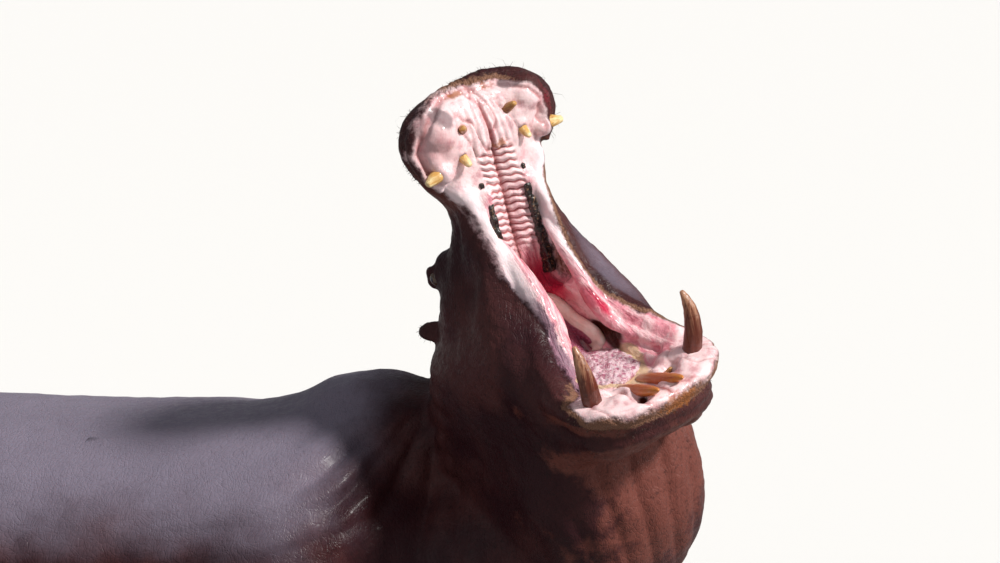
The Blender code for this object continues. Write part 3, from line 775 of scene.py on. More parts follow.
def paint_lining(skin, upper, lower, facing, outside, beyond, seen):
    """Marks on the lining of the mouth and on its edge."""
    ahead, across, up = lower.T
    front = ramp(upper[:, 0], 0.4, 0.5)
    lips = np.maximum(front, ramp(ahead, 0.36, 0.44) * ramp(up, -0.02, -0.07))
    # The brown rim stays faint on the right side, the shaded one, away from the lips: painted shade there.
    brown = np.where(across < 0, 0.12, 0.85)
    brown += (1 - brown) * lips
    brown *= 1 - 0.85 * front * ramp(np.abs(upper[:, 1]), 0.09, 0.15)
    paint(skin, "rim", brown * bell(beyond, 0.01, 0.012))
    paint(skin, "throat", capped(throat_share(upper, lower, outside)))
    # Painted shade: the deep fold between the tongue and either cheek is darkened.
    paint(skin, "painted_trench_shade", capped(1.5 * trench(lower)))
    # Pale edges of the lining at the mouth's corners: their own pallor, made whiter still as painted
    # sunlight on the folds.
    edge = bell((outside + beyond) / 2, -0.008, 0.026)
    paint(skin, "pale_and_sunlit_edge", edge * ramp(up, 0.06, 0.2) * ramp(upper[:, 0], 0.5, 0.42))
    # Painted shade on the right-hand pad behind the upper lip, the pad on the shaded side.
    paint(skin, "painted_pad_shade", patch(upper, (0.575, -0.168, -0.02), (0.06, 0.055, 0.08)))
    # Painted shade: a dark wine band inside the left upper lip, in the groove between the pad and the lip.
    paint(skin, "painted_lip_shade", patch(upper, (0.57, 0.22, -0.01), (0.1, 0.05, 0.06)) * ramp(beyond, 0.05, 0.03))
    pale = ramp(upper[:, 0], 0.34, 0.44) + bell(outside, 0.0, 0.03) * ramp(upper[:, 0], 0.5, 0.4)
    paint(skin, "pale", capped(pale + ramp(ahead, 0.4, 0.47) * ramp(up, -0.2, -0.13)))
    paint(skin, "palate", on_palate(upper, facing))
    paint(skin, "ridge", ridge_phase(upper))
    # Painted shade along the groove down the middle of the palate and the cleft, where it shows from the
    # mouth.
    cleft = bell(upper[:, 1], 0.0, 0.007) * ramp(upper[:, 0], 0.65, 0.6)
    paint(skin, "painted_midline_shade", cleft * ramp(seen, 0.2, 0.5))
    paint(skin, "mucus", mucus_share(upper, lower))
    stain = 0.9 * patch(lower, (0.63, 0.02, -0.135), (0.04, 0.075, 0.03))
    stain += sum(strength * patch(upper, centre, radii) for strength, centre, radii in UPPER_STAINS)
    paint(skin, "stain", capped(stain))
    pigment = 1.6 * patch(upper, (0.622, -0.128, 0.0), (0.026, 0.03, 0.07))
    paint(skin, "pigment", capped(pigment + 1.5 * patch(upper, (0.634, 0.112, 0.01), (0.015, 0.034, 0.06))))
    # Painted shade: the tooth sockets and the gum hollows are darkened.
    sockets = sum(twin(upper, socket, (0.018, 0.018, 0.022)) for socket in UPPER_SOCKETS[:2])
    sockets += sum(twin(lower, socket, (0.016, 0.016, 0.02)) for socket in LOWER_SOCKETS)
    sockets += sum(patch(lower, centre, radii) for centre, radii in GUM_HOLLOW_SHADES)
    paint(skin, "socket", capped(sockets))
    # Painted shade in the creases of the gums and in the groove round the upper pads.
    welt = ramp(upper[:, 0], 0.42, 0.5) * bell(beyond, -0.017, 0.007)
    paint(skin, "painted_crease_shade", capped(fissures(upper, lower) * (beyond < 0) + 0.9 * welt))
    mauve = 1.2 * bell(beyond, -0.006, 0.024) * ramp(up, 0.24, 0.12) * ramp(ahead, 0.5, 0.42)
    paint(skin, "mauve", mauve * ramp(across, -0.02, -0.08))


def paint_hide(skin, points, lower, facing, beyond):
    """Marks on the hide: the fair belly and throat, flushed cheeks, and a painted sky sheen on the back and
    far cheek.
    """
    belly = ramp(spread(skin.data, facing[:, 2], 30), -0.1, -0.8) * ramp(points[:, 2], 0.2, 0.35)
    fair = 0.7 * belly + 1.1 * patch(lower, (0.36, 0.06, -0.42), (0.2, 0.24, 0.24))
    paint(skin, "fair", capped(fair))
    paint(skin, "flush", capped(twin(lower, (0.1, 0.24, 0.0), (0.14, 0.12, 0.2))))
    # Painted sky reflection: a violet sheen on the left cheek, the far one, and on upward-facing skin high
    # on the back.
    cheek = patch(lower, (0.2, 0.17, 0.12), (0.2, 0.09, 0.26)) * ramp(beyond, 0.03, 0.06)
    back = ramp(spread(skin.data, facing[:, 2], 90), -0.1, 1.0)
    back *= ramp(points[:, 2], 0.5, 1.0) * ramp(points[:, 1], -0.9, -0.5)
    paint(skin, "back", capped(back + 0.55 * cheek))


def painted(skin):
    """Leaves on the skin what its material needs to know of each place."""
    mesh = skin.data
    points, facing = places(mesh), normals(mesh)
    upper, lower = in_jaws(points)
    outside, lap, run = rim_measure(points)
    chosen = np.nonzero(from_point(lower, (0.25, 0, 0.15)) < 0.62)[0]
    seen = spread(mesh, seen_from_mouth(mesh, points, facing, chosen), 6)
    hidden = (seen < 0.5) & (outside < -0.08) & ((upper[:, 0] < 0.42) | (upper[:, 2] > 0.05))
    outside = spread(mesh, np.where(hidden, -outside, outside), 3)
    beyond = outside - lap
    paint(skin, "lining", capped(0.5 - beyond / 0.036))
    paint(skin, "wrinkle", np.column_stack([run * 14, outside * 75, upper[:, 1] * 6]))
    paint_lining(skin, upper, lower, turned_into(UPPER, facing), outside, beyond, seen)
    paint_hide(skin, points, lower, facing, beyond)


def build_skin():
    skin = fused_skin()
    sculpted(skin)
    thinned(skin)
    painted(skin)
    finished(skin, skin_material(), "hide", *FLESH)
    return skin


# --- Materials ---

MAROON = (0.032, 0.008, 0.011)
DARK = (0.014, 0.007, 0.008)
# Painted sheen of sky on the back and far cheek.
SKY_SHEEN_VIOLET = (0.22, 0.19, 0.25)
FLUSH = (0.085, 0.027, 0.026)
FAIR = (0.16, 0.05, 0.038)
RIM_BROWN = (0.24, 0.12, 0.075)
PINK = (0.8, 0.32, 0.38)
PALE = (0.92, 0.68, 0.69)
ROSE = (0.46, 0.1, 0.14)
MAUVE = (0.24, 0.13, 0.19)
CRIMSON = (0.56, 0.025, 0.075)
# Painted shade in grooves and creases of the lining.
GROOVE_SHADE = (0.34, 0.06, 0.06)
MUCUS = (0.68, 0.5, 0.3)
# Pallor of the fold edges, whitened as painted sunlight.
FOLD_PALLOR_AND_LIGHT = (0.96, 0.8, 0.83)
# Painted shade of the right-hand upper pad.
PAD_SHADE = (0.56, 0.28, 0.29)
# Painted shade inside the left upper lip.
LIP_SHADE = (0.15, 0.016, 0.024)
STAIN = (0.36, 0.12, 0.03)
SLATE = (0.17, 0.12, 0.13)
# Painted shade in the fold beside the tongue, in the sockets and in the gum hollows.
HOLLOW_SHADE = (0.05, 0.008, 0.006)


class Value:
    """One output of a node, for sums with other outputs and with numbers."""

    def __init__(self, nodes, socket):
        self.nodes = nodes
        self.socket = socket

    def __add__(self, other):
        return self.nodes.maths("ADD", self, other)

    def __sub__(self, other):
        return self.nodes.maths("SUBTRACT", self, other)

    def __rsub__(self, other):
        return self.nodes.maths("SUBTRACT", other, self)

    def __mul__(self, other):
        return self.nodes.maths("MULTIPLY", self, other)

    def ranged(self, low, high, to_low=0.0, to_high=1.0):
        """to_low below low and to_high above high, with a smooth change between."""
        entries = {"Value": self, "From Min": low, "From Max": high, "To Min": to_low, "To Max": to_high}
        return self.nodes.add("MapRange", "Result", entries, interpolation_type="SMOOTHSTEP")

    def bumped(self):
        """The normal over this height in metres."""
        return self.nodes.add("Bump", "Normal", {"Strength": 1.0, "Distance": 1.0, "Height": self})


class Nodes:
    """Short ways to lay shader nodes in a material or a group."""

    def __init__(self, tree):
        self.tree = tree
        self.count = 0

    def feed(self, socket, value):
        if isinstance(value, Value):
            self.tree.links.new(value.socket, socket)
        elif socket.type == "RGBA":
            socket.default_value = (*value, 1)
        else:
            socket.default_value = value

    def shade(self, **entries):
        """Feeds the material's shader; plain numbers are set on its inputs."""
        for name, value in entries.items():
            self.feed(self.tree.nodes["Principled BSDF"].inputs[name.replace("_", " ")], value)

    def add(self, kind, output, entries, **settings):
        """Adds a node, feeds its inputs by name or number and gives one output."""
        node = self.tree.nodes.new(f"ShaderNode{kind}")
        self.count += 1
        node.location = (-1800 + 180 * (self.count % 10), -220 * (self.count // 10))
        for name, value in settings.items():
            setattr(node, name, value)
        for key, value in entries.items():
            self.feed(node.inputs[key], value)
        return Value(self, node.outputs[output])

    def read(self, name, output="Fac"):
        return self.add("Attribute", output, {}, attribute_name=name)

    def here(self):
        return self.add("TexCoord", "Object", {})

    def stretched(self, vector, scale, turn=(0, 0, 0)):
        radians = [math.radians(angle) for angle in turn]
        return self.add("Mapping", "Vector", {"Vector": vector, "Rotation": radians, "Scale": scale})

    def noise(self, scale, detail=3.0, roughness=0.55, vector=None):
        entries = {"Vector": vector or self.here(), "Scale": scale}
        entries |= {"Detail": detail, "Roughness": roughness}
        return self.add("TexNoise", "Fac", entries)

    def cells(self, scale, vector=None, feature="DISTANCE_TO_EDGE"):
        entries = {"Vector": vector or self.here(), "Scale": scale}
        return self.add("TexVoronoi", "Distance", entries, feature=feature)

    def maths(self, operation, first, second=0.5):
        return self.add("Math", "Value", {0: first, 1: second}, operation=operation)

    def laid(self, colour, *layers):
        """Colours laid over one another, each by its share."""
        for share, over in layers:
            entries = {"Factor": share, 6: colour, 7: over}
            colour = self.add("Mix", 2, entries, data_type="RGBA", clamp_factor=True)
        return colour

    def between(self, share, first, second):
        return self.laid(first, (share, second))

    def placed(self, group, output, **entries):
        return self.add("Group", output, entries, node_tree=group)

    def mottled(self, name, scale, amount):
        """A painted patch with its edge broken up."""
        return self.placed(MOTTLED, "Mask", Mask=self.read(name), Scale=scale, Amount=amount)


def new_group(name, inputs, output):
    group = bpy.data.node_groups.new(name, "ShaderNodeTree")
    for title, value in inputs.items():
        socket = group.interface.new_socket(title, in_out="INPUT", socket_type="NodeSocketFloat")
        socket.default_value = value
    group.interface.new_socket(output, in_out="OUTPUT", socket_type="NodeSocketFloat")
    nodes, end = Nodes(group), group.nodes.new("NodeGroupOutput")
    start = group.nodes.new("NodeGroupInput")
    return group, nodes, end.inputs[output], [Value(nodes, start.outputs[title]) for title in inputs]


def mottled_group():
    """Breaks the edge of a painted patch into specks and blotches."""
    inputs = {"Mask": 0.0, "Scale": 30.0, "Amount": 0.5}
    group, nodes, made, (mask, scale, amount) = new_group("mottled", inputs, "Mask")
    shift = (nodes.noise(scale, 5.0, 0.65) - 0.5) * amount
    nodes.feed(made, (mask + shift * 2.0).ranged(0.3, 0.7))
    return group


def creased_group():
    """Fine creases that cross each other, and the grain between them, as a height in metres."""
    group, nodes, made, (scale, depth) = new_group("creased", {"Scale": 1.0, "Depth": 0.001}, "Height")
    swirl = nodes.add("TexNoise", "Color", {"Vector": nodes.here(), "Scale": 9.0})
    entries = {0: swirl, 1: (0.07, 0.07, 0.07), 2: nodes.here()}
    warped = nodes.add("VectorMath", "Vector", entries, operation="MULTIPLY_ADD")
    scaled = nodes.add("VectorMath", "Vector", {0: warped, "Scale": scale}, operation="SCALE")
    height = nodes.noise(240.0, 3.0, 0.6, scaled) * 0.3
    for turn, size, weight in (((20, 30, 0), (26, 75, 26), 0.5), ((-35, 10, 60), (85, 24, 30), 0.45)):
        height += nodes.cells(1.0, nodes.stretched(scaled, size, turn)).ranged(0.0, 0.14) * weight
    nodes.feed(made, height * depth)
    return group


MOTTLED = mottled_group()
CREASED = creased_group()


def new_material(name):
    made = bpy.data.materials.new(name)
    made.use_nodes = True
    return made, Nodes(made.node_tree)


def hide_colour(nodes, rim, stained):
    back = nodes.read("back")
    clouds = (nodes.noise(5.0, 6.0, 0.6) - 0.5) * 0.7
    hide = nodes.laid(
        MAROON,
        (nodes.noise(4.0, 5.0).ranged(0.35, 0.7), FLUSH),
        # painted sky sheen on the back and far cheek
        ((back + clouds).ranged(0.15, 1.0), SKY_SHEEN_VIOLET),
        (nodes.mottled("flush", 7.0, 0.4), FLUSH),
        (nodes.mottled("fair", 11.0, 0.7), FAIR),
    )
    specks = nodes.between(nodes.noise(90.0, 5.0, 0.6).ranged(0.5, 0.75, 0.0, 0.6), hide, DARK)
    return nodes.laid(
        hide,
        # fewer dark specks under the painted sky sheen
        (back.ranged(0.1, 0.6, 1.0, 0.35), specks),
        (rim * 0.85, RIM_BROWN),
        # painted shade inside the left upper lip
        (nodes.read("painted_lip_shade").ranged(0.2, 0.6), LIP_SHADE),
        (stained, STAIN),
    )


def lining_colour(nodes, wet, wave, palate, stained):
    streaks = nodes.noise(1.0, 5.0, 0.65, nodes.read("wrinkle", "Vector"))
    # painted shade in the valleys between the palate's ridges and along its middle groove
    groove = nodes.maths("MAXIMUM", wave.ranged(0.35, 1.0) * palate, nodes.read("painted_midline_shade"))
    return nodes.laid(
        PINK,
        (nodes.mottled("pale", 16.0, 0.7), PALE),
        (nodes.noise(26.0, 5.0, 0.65).ranged(0.45, 0.7, 0.0, 0.6), ROSE),
        (streaks.ranged(0.43, 0.6, 0.0, 0.8) * wet, PALE),
        (streaks.ranged(0.43, 0.32, 0.0, 0.8) * wet, ROSE),
        (nodes.read("throat").ranged(0.15, 0.8), CRIMSON),
        (palate * 0.7, PALE),
        (groove * 0.9, GROOVE_SHADE),
        (nodes.mottled("mauve", 55.0, 0.9) * 0.85, MAUVE),
        # pale fold edges with painted sunlight
        (nodes.read("pale_and_sunlit_edge"), FOLD_PALLOR_AND_LIGHT),
        # painted shade on the right-hand pad
        (nodes.read("painted_pad_shade") * 0.85, PAD_SHADE),
        # painted shade in the gum creases and the groove round the pads
        (nodes.read("painted_crease_shade") * 0.7, GROOVE_SHADE),
        (nodes.mottled("mucus", 20.0, 0.5) * 0.85, MUCUS),
        (stained, STAIN),
        (nodes.mottled("pigment", 60.0, 0.35) * 0.8, SLATE),
        # painted shade, near black, in the fold beside the tongue and in the sockets and hollows
        (nodes.read("painted_trench_shade").ranged(0.2, 0.8), HOLLOW_SHADE),
        (nodes.read("socket").ranged(0.35, 0.9), HOLLOW_SHADE),
    )


def skin_material():
    made, nodes = new_material("hide and mouth lining")
    lining = nodes.mottled("lining", 55.0, 0.34)
    rim = nodes.mottled("rim", 110.0, 0.9)
    stained = nodes.mottled("stain", 75.0, 0.8) * 0.75
    palate, pale = nodes.read("palate"), nodes.read("pale")
    wave = nodes.maths("COSINE", nodes.read("ridge") * (2 * math.pi))
    wet = 1.0 - pale * 0.75
    film = nodes.noise(34.0, 6.0, 0.7).ranged(0.35, 0.65, 0.28, 0.56)

    creases = nodes.placed(CREASED, "Height", Scale=1.35, Depth=0.001) * (1.0 - lining * 0.8)
    ridges = wave * palate * -0.0016
    pleats = nodes.noise(1.0, 4.0, 0.62, nodes.read("wrinkle", "Vector"))
    puckers = pleats * (wet * 0.012) + nodes.noise(85.0, 4.0, 0.6) * 0.003
    puckers = puckers * pale.ranged(0.0, 1.0, 1.0, 0.4) * lining * (1.0 - palate * 0.8)
    grains = nodes.cells(190.0, feature="F1") * (rim * -0.0024)
    hide, flesh = hide_colour(nodes, rim, stained), lining_colour(nodes, wet, wave, palate, stained)
    nodes.shade(
        Base_Color=nodes.between(lining, hide, flesh),
        Roughness=film - lining * 0.08,
        Specular_IOR_Level=0.16,
        Coat_Weight=lining.ranged(0.0, 1.0, 0.035, 0.34),
        Coat_Roughness=0.16,
        Subsurface_Weight=0.05,
        Subsurface_Radius=(0.02, 0.006, 0.004),
        Normal=(creases + ridges + puckers + grains).bumped(),
    )
    return made


def ivory_material(name, root, body, tip):
    """Stained tooth: a dark root, an orange body and a paler worn tip, with streaks along its length."""
    made, nodes = new_material(name)
    streaks = nodes.noise(1.0, 4.0, 0.6, nodes.read("streak", "Vector"))
    along = nodes.read("along") + (streaks - 0.5) * 1.1
    colour = nodes.laid(
        root,
        (along.ranged(0.05, 0.42), body),
        (along.ranged(0.6, 1.05), tip),
        (nodes.noise(130.0, 4.0, 0.6).ranged(0.55, 0.75, 0.0, 0.6), root),
    )
    nodes.shade(
        Base_Color=colour,
        Roughness=streaks.ranged(0.3, 0.7, 0.26, 0.5),
        Coat_Weight=0.2,
        Coat_Roughness=0.15,
        Normal=(streaks * 0.0022).bumped(),
    )
    return made


# --- Teeth ---

TOOTH_VOXEL = 0.0026
STREAKS_ACROSS = 130  # streaks to the metre round a tooth, times their wander
TUSK_COLOURS = ((0.035, 0.006, 0.002), (0.11, 0.018, 0.006), (0.42, 0.2, 0.11))
CHISEL_COLOURS = ((0.6, 0.32, 0.18), (0.5, 0.13, 0.04), (0.6, 0.2, 0.03))
PEG_COLOURS = ((0.25, 0.08, 0.015), (0.66, 0.36, 0.1), (0.85, 0.68, 0.36))
BROWN_PEG_COLOURS = ((0.04, 0.01, 0.006), (0.26, 0.09, 0.02), (0.5, 0.26, 0.07))
# Each kind of tooth, with the axis of its jaw's frame that points out of the gum.
TEETH = (
    ("tusk_lower", LOWER, (0.0, 0.1, 1.0), TUSK_COLOURS),
    ("incisor_lower_inner", LOWER, (1.0, 0.0, 0.25), CHISEL_COLOURS),
    ("incisor_lower_outer", LOWER, (0.5, 0.0, 0.6), BROWN_PEG_COLOURS),
    ("tusk_upper", UPPER, (0.0, 1.0, -0.2), PEG_COLOURS),
    ("incisor_upper_inner", UPPER, (0.4, 0.3, -1.0), BROWN_PEG_COLOURS),
    ("incisor_upper_outer", UPPER, (-0.5, 0.0, -1.0), PEG_COLOURS),
)


def build_tooth(kind, place, out, side, word, finish):
    node = f"{kind}_{word}"
    tooth = copy_of(node)
    tooth.name = f"ivory_{node}"
    swollen(smoothed(remeshed(tooth, TOOTH_VOXEL), 14), 0.0012)
    points = places(tooth.data)
    rise = points @ np.array((place.to_3x3() @ sided(out, side)).normalized())
    along = (rise - rise.min()) / np.ptp(rise)
    paint(tooth, "along", along)
    first = Vector(out).orthogonal().normalized()
    crosswise = np.array((first, Vector(out).normalized().cross(first)))
    round_it = seen_from(place, points) @ crosswise.T * STREAKS_ACROSS
    paint(tooth, "streak", np.column_stack([round_it, along * 2.0]))
    raised(tooth, 0.0009 * rumple(points, 55) + 0.0004 * rumple(points, 160, 1))
    finished(tooth, finish, "ivory", node)


def build_teeth():
    finishes = {}
    for kind, place, out, colours in TEETH:
        if colours not in finishes:
            finishes[colours] = ivory_material(f"ivory {len(finishes) + 1}", *colours)
        for side, word in SIDES:
            build_tooth(kind, place, out, side, word, finishes[colours])


def one_molar():
    """A squat crown with four worn cusps round a basin."""
    deselect()
    bpy.ops.mesh.primitive_cube_add(size=1)
    crown = bpy.context.active_object
    with editing(crown):
        bpy.ops.mesh.subdivide(number_cuts=3)
    x, y, z = places(crown.data).T
    cusps = np.cos(2 * math.pi * x) * np.cos(2 * math.pi * y)
    z = np.where(z > 0.4, z - 0.16 * cusps, z)
    waist = 1 - 0.16 * (z > 0.4) - 0.1 * (np.abs(z) < 0.1)
    move(crown.data, np.stack([x * waist, y * waist, z], 1))
    return modified(crown, "SUBSURF", levels=1, render_levels=1)


def molar_row(place, ends, side, name, finish):
    """A row of cheek teeth that touch, growing from front to back."""
    hangs = place == UPPER
    stand = turned(180 if hangs else 0, "X")
    crowns = []
    pitch = (Vector(ends[1]) - Vector(ends[0])).length / (MOLARS - 1)
    for index in range(MOLARS):
        share = index / (MOLARS - 1)
        centre = Vector(ends[0]).lerp(Vector(ends[1]), share)
        centre.z += rng.uniform(-0.004, 0.004) + (0.008 if hangs and side < 0 else 0)
        size = (pitch * 1.12, 0.028 - 0.008 * share, 0.038 - 0.008 * share)
        lean = turned(rng.uniform(-12, 12), "X") @ turned(rng.uniform(-12, 12), "Y")
        shape = Matrix.Diagonal((*(length * rng.uniform(0.9, 1.1) for length in size), 1))
        spot = place @ Matrix.Translation(sided(centre, side))
        crowns.append(settled(one_molar(), spot @ stand @ lean @ shape))
    if hangs:
        first = Matrix.Translation(sided(FIRST_PREMOLAR, side)) @ Matrix.Diagonal((0.016, 0.012, 0.016, 1))
        crowns.append(settled(one_molar(), place @ first))
    row = joined(crowns)
    row.name = name
    smoothed(remeshed(row, 0.0022), 3)
    points = places(row.data)
    raised(row, 0.0022 * rumple(points, 60, 3) + 0.0016 * rumple(points, 150, 4))
    finished(row, finish, "ivory")


def build_molars():
    made, nodes = new_material("tarred molar")
    grain = nodes.noise(110.0, 5.0, 0.65)
    nodes.shade(
        Base_Color=nodes.between(grain.ranged(0.56, 0.68), (0.012, 0.007, 0.006), (0.3, 0.17, 0.09)),
        Roughness=grain.ranged(0.3, 0.7, 0.2, 0.45),
        Coat_Weight=0.3,
        Normal=(grain * 0.003).bumped(),
    )
    lower_row = ((0.12, 0.1, -0.115), (0.27, 0.097, -0.118))
    for side, word in SIDES:
        molar_row(UPPER, MOLAR_ROW, side, f"molars_upper_{word}", made)
        molar_row(LOWER, lower_row, side, f"molars_lower_{word}", made)


# --- Tongue ---

# The raised edge of the tongue from its root to where it flattens, on the left, in the lower jaw's frame,
# with its radii, and then the trough between the two edges.
TONGUE_EDGE = (
    ((0.06, 0.012, 0.05), 0.012),
    ((0.083, 0.03, 0.043), 0.013),
    ((0.103, 0.045, 0.031), 0.0135),
    ((0.124, 0.055, 0.005), 0.0135),
    ((0.154, 0.062, -0.02), 0.013),
    ((0.19, 0.069, -0.036), 0.0135),
    ((0.216, 0.075, -0.058), 0.014),
    ((0.225, 0.076, -0.084), 0.014),
    ((0.21, 0.06, -0.1), 0.012),
)
TONGUE_TROUGH = (
    ((0.02, 0.0, 0.01), 0.04),
    ((0.07, 0.0, -0.02), 0.045),
    ((0.14, 0.0, -0.065), 0.045),
    ((0.21, 0.0, -0.11), 0.036),
)


def tongue_material():
    made, nodes = new_material("tongue")
    web = nodes.noise(80.0, 6.0, 0.7)
    fine = nodes.noise(170.0, 4.0, 0.6)
    tufts = nodes.laid(
        (0.55, 0.16, 0.26),
        (web.ranged(0.42, 0.54), (0.95, 0.7, 0.76)),
        (fine.ranged(0.5, 0.7, 0.0, 0.6), (0.95, 0.78, 0.78)),
    )
    border = nodes.between(nodes.noise(30.0).ranged(0.4, 0.7), (0.92, 0.7, 0.62), (0.97, 0.86, 0.78))
    edge = nodes.read("edge")
    colour = nodes.laid(
        (0.36, 0.05, 0.12),
        (fine.ranged(0.4, 0.62, 0.0, 0.5), (0.55, 0.2, 0.3)),
        (nodes.read("flat"), tufts),
        (edge.ranged(0.3, 0.8), border),
        (nodes.mottled("side", 45.0, 0.4), MUCUS),
    )
    nodes.shade(
        Base_Color=colour,
        Roughness=web.ranged(0.3, 0.7, 0.24, 0.4),
        Coat_Weight=0.4,
        Coat_Roughness=0.14,
        Subsurface_Weight=0.06,
        Subsurface_Radius=(0.015, 0.005, 0.004),
        Normal=((web * 0.009 + fine * 0.0022) * (1.0 - edge * 0.9)).bumped(),
    )
    return made


def line_distance(points, line):
    """Each point's distance to a broken line."""
    best = np.full(len(points), 1e9)
    for a, b in zip(line, line[1:]):
        along = b - a
        share = capped(((points - a) @ along) / (along @ along))
        best = np.minimum(best, np.linalg.norm(points - a - share[:, None] * along, axis=1))
    return best


def build_tongue():
    clay = [roll(LOWER, *zip(*TONGUE_TROUGH))]
    clay.append(lump(LOWER, (0.2, 0, -0.145), (0.16, 0.078, 0.05)))
    clay.append(lump(LOWER, (0.305, 0, -0.112), (0.13, 0.1, 0.03)))
    edge_points, edge_radii = zip(*TONGUE_EDGE)
    wall = [(x - 0.006, y - 0.006, z - 0.024) for x, y, z in edge_points[1:7]]
    for side, _ in SIDES:
        clay.append(roll(LOWER, edge_points, edge_radii, side))
        clay.append(roll(LOWER, wall, [0.02] * len(wall), side))
    tongue = joined(clay)
    tongue.name = "tongue_flesh"
    smoothed(remeshed(tongue, 0.004), 8)
    points = places(tongue.data)
    lower = seen_from(LOWER, points)
    ahead, across, up = lower[:, 0], np.abs(lower[:, 1]), lower[:, 2]
    from_edge = line_distance(np.stack([ahead, across, up], 1), np.array(edge_points))
    edge = ramp(from_edge, 0.027, 0.019)
    flat = ramp(ahead, 0.2, 0.27)
    relief = 0.003 * rumple(points, 70) + 0.0032 * flat * rumple(points, 130, 1)
    relief *= (1 - edge) * ramp(up, -0.16, -0.12)
    relief += 0.007 * flat * rumple(points, 34, 5) + 0.0012 * rumple(points, 25, 2)
    raised(tongue, relief)
    paint(tongue, "edge", edge)
    paint(tongue, "flat", flat * ramp(up, -0.15, -0.11))
    paint(tongue, "side", ramp(across, 0.075, 0.09) + ramp(up, -0.11, -0.135))
    finished(tongue, tongue_material(), "mouth", "tongue")


# --- Eyes and nails ---


def build_eyes():
    made, nodes = new_material("eye")
    from_pupil = nodes.read("round")
    grain = nodes.noise(300.0, 3.0).ranged(0.35, 0.65)
    iris = nodes.between(grain, (0.045, 0.02, 0.008), (0.11, 0.055, 0.02))
    colour = nodes.laid(
        (0.004, 0.003, 0.003),
        (from_pupil.ranged(0.28, 0.32), iris),
        (from_pupil.ranged(0.66, 0.74), (0.03, 0.012, 0.01)),
    )
    nodes.shade(Base_Color=colour, Roughness=0.06, Coat_Weight=1.0, Coat_Roughness=0.03)
    for side, word in SIDES:
        centre, size = eye_place(word)
        outward = Vector((0.15, side, 0.05)).normalized()
        gaze = outward.to_track_quat("Z", "Y").to_matrix().to_4x4()
        ball = lump(UPPER, centre, (size, size, size), gaze)
        ball.name = f"eyeball_{word}"
        modified(ball, "SUBSURF", levels=1, render_levels=1)
        points = seen_from(UPPER, places(ball.data)) - np.array(centre)
        off_axis = np.linalg.norm(np.cross(points, np.array(outward)), axis=1) / size
        paint(ball, "round", np.where(points @ np.array(outward) > 0, off_axis, 1.0))
        finished(ball, made, "eye", f"eye_{word}")


def build_nails():
    made, nodes = new_material("horn")
    layers = nodes.noise(60.0, 4.0, 0.6, nodes.stretched(nodes.here(), (1, 1, 0.25)))
    colour = nodes.between(layers.ranged(0.35, 0.65), (0.09, 0.06, 0.05), (0.2, 0.15, 0.12))
    nodes.shade(Base_Color=colour, Roughness=0.45, Normal=(layers * 0.0014).bumped())
    for node in sorted(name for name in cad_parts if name.startswith("nail_")):
        nail = copy_of(node)
        nail.name = f"horn_{node}"
        swollen(smoothed(remeshed(nail, 0.0035), 8), 0.001)
        finished(nail, made, "nail", node)


# --- Bristles ---

# Each kind: how many, how long, how thick at the root, and how far they lie over, from 0 to 1.
BRISTLES = {
    "muzzle": (420, 0.012, 0.0006, 0.55),
    "whiskers": (70, 0.045, 0.0006, 0.8),
    "lower_lip": (320, 0.009, 0.0006, 0.55),
    "ear": (110, 0.011, 0.0005, 0.4),
    "tail": (160, 0.05, 0.0014, 0.6),
}
BRISTLE_SIDES = ((0, 1, 4, 3), (1, 2, 5, 4), (2, 0, 3, 5), (3, 4, 6), (4, 5, 6), (5, 3, 6))
# Where a bristle's corners lie on the unrolled skin, from its root.
BRISTLE_UV = ((0, 0), (1, 0), (0.5, 1), (0, 1.5), (1, 1.5), (0.5, 2), (0.5, 3))
UV_STEP = 0.001


def bristle_roots(points):
    """Where each kind of bristle grows, as a weight on each vertex."""
    upper, lower = in_jaws(points)
    outside, lap, _ = rim_measure(points)
    beyond = outside - lap
    muzzle = ramp(upper[:, 0], 0.42, 0.5)
    ears = ramp(twin(upper, (-0.036, 0.182, 0.225), (0.035, 0.04, 0.04)), 0.2, 0.6)
    low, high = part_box("tail")
    tip = ramp(points[:, 1], high.y - 0.16, high.y - 0.1) * ramp(points[:, 2], low.z + 0.1, low.z + 0.05)
    return {
        "muzzle": muzzle * span(beyond, 0.004, 0.012, 0.03, 0.05),
        "whiskers": muzzle * span(beyond, 0.02, 0.04, 0.1, 0.13),
        "lower_lip": ramp(lower[:, 0], 0.4, 0.46) * span(beyond, 0.012, 0.02, 0.035, 0.05),
        "ear": ears,
        "tail": tip,
    }


def combed(roots, out, over, length, thickness, lie):
    """The corners of three-sided bristles: two rings and a point each."""
    sweep = over - out * np.einsum("ij,ij->i", over, out)[:, None]
    sweep /= np.linalg.norm(sweep, axis=1)[:, None]
    beside = np.cross(out, sweep)
    rings = []
    for share in (0.0, 0.55):
        centre = roots + (out * share * (1 - lie * share * 0.6) + sweep * lie * share**2) * length[:, None]
        for degrees in (0, 120, 240):
            angle = math.radians(degrees)
            around = sweep * math.cos(angle) + beside * math.sin(angle)
            rings.append(centre + around * thickness * (1 - 0.55 * share))
    rings.append(roots + (out * (1 - lie * 0.6) + sweep * lie) * length[:, None])
    return np.stack(rings, 1)


def unrolled(points):
    """Where each place of the skin lies when the skin is unrolled round the body's length."""
    low, high = cad_box
    round_the_body = np.arctan2(points[:, 0], points[:, 2] - (low.z + high.z) / 2) / (2 * math.pi) + 0.5
    return np.stack([round_the_body, (points[:, 1] - low.y) / (high.y - low.y)], 1)


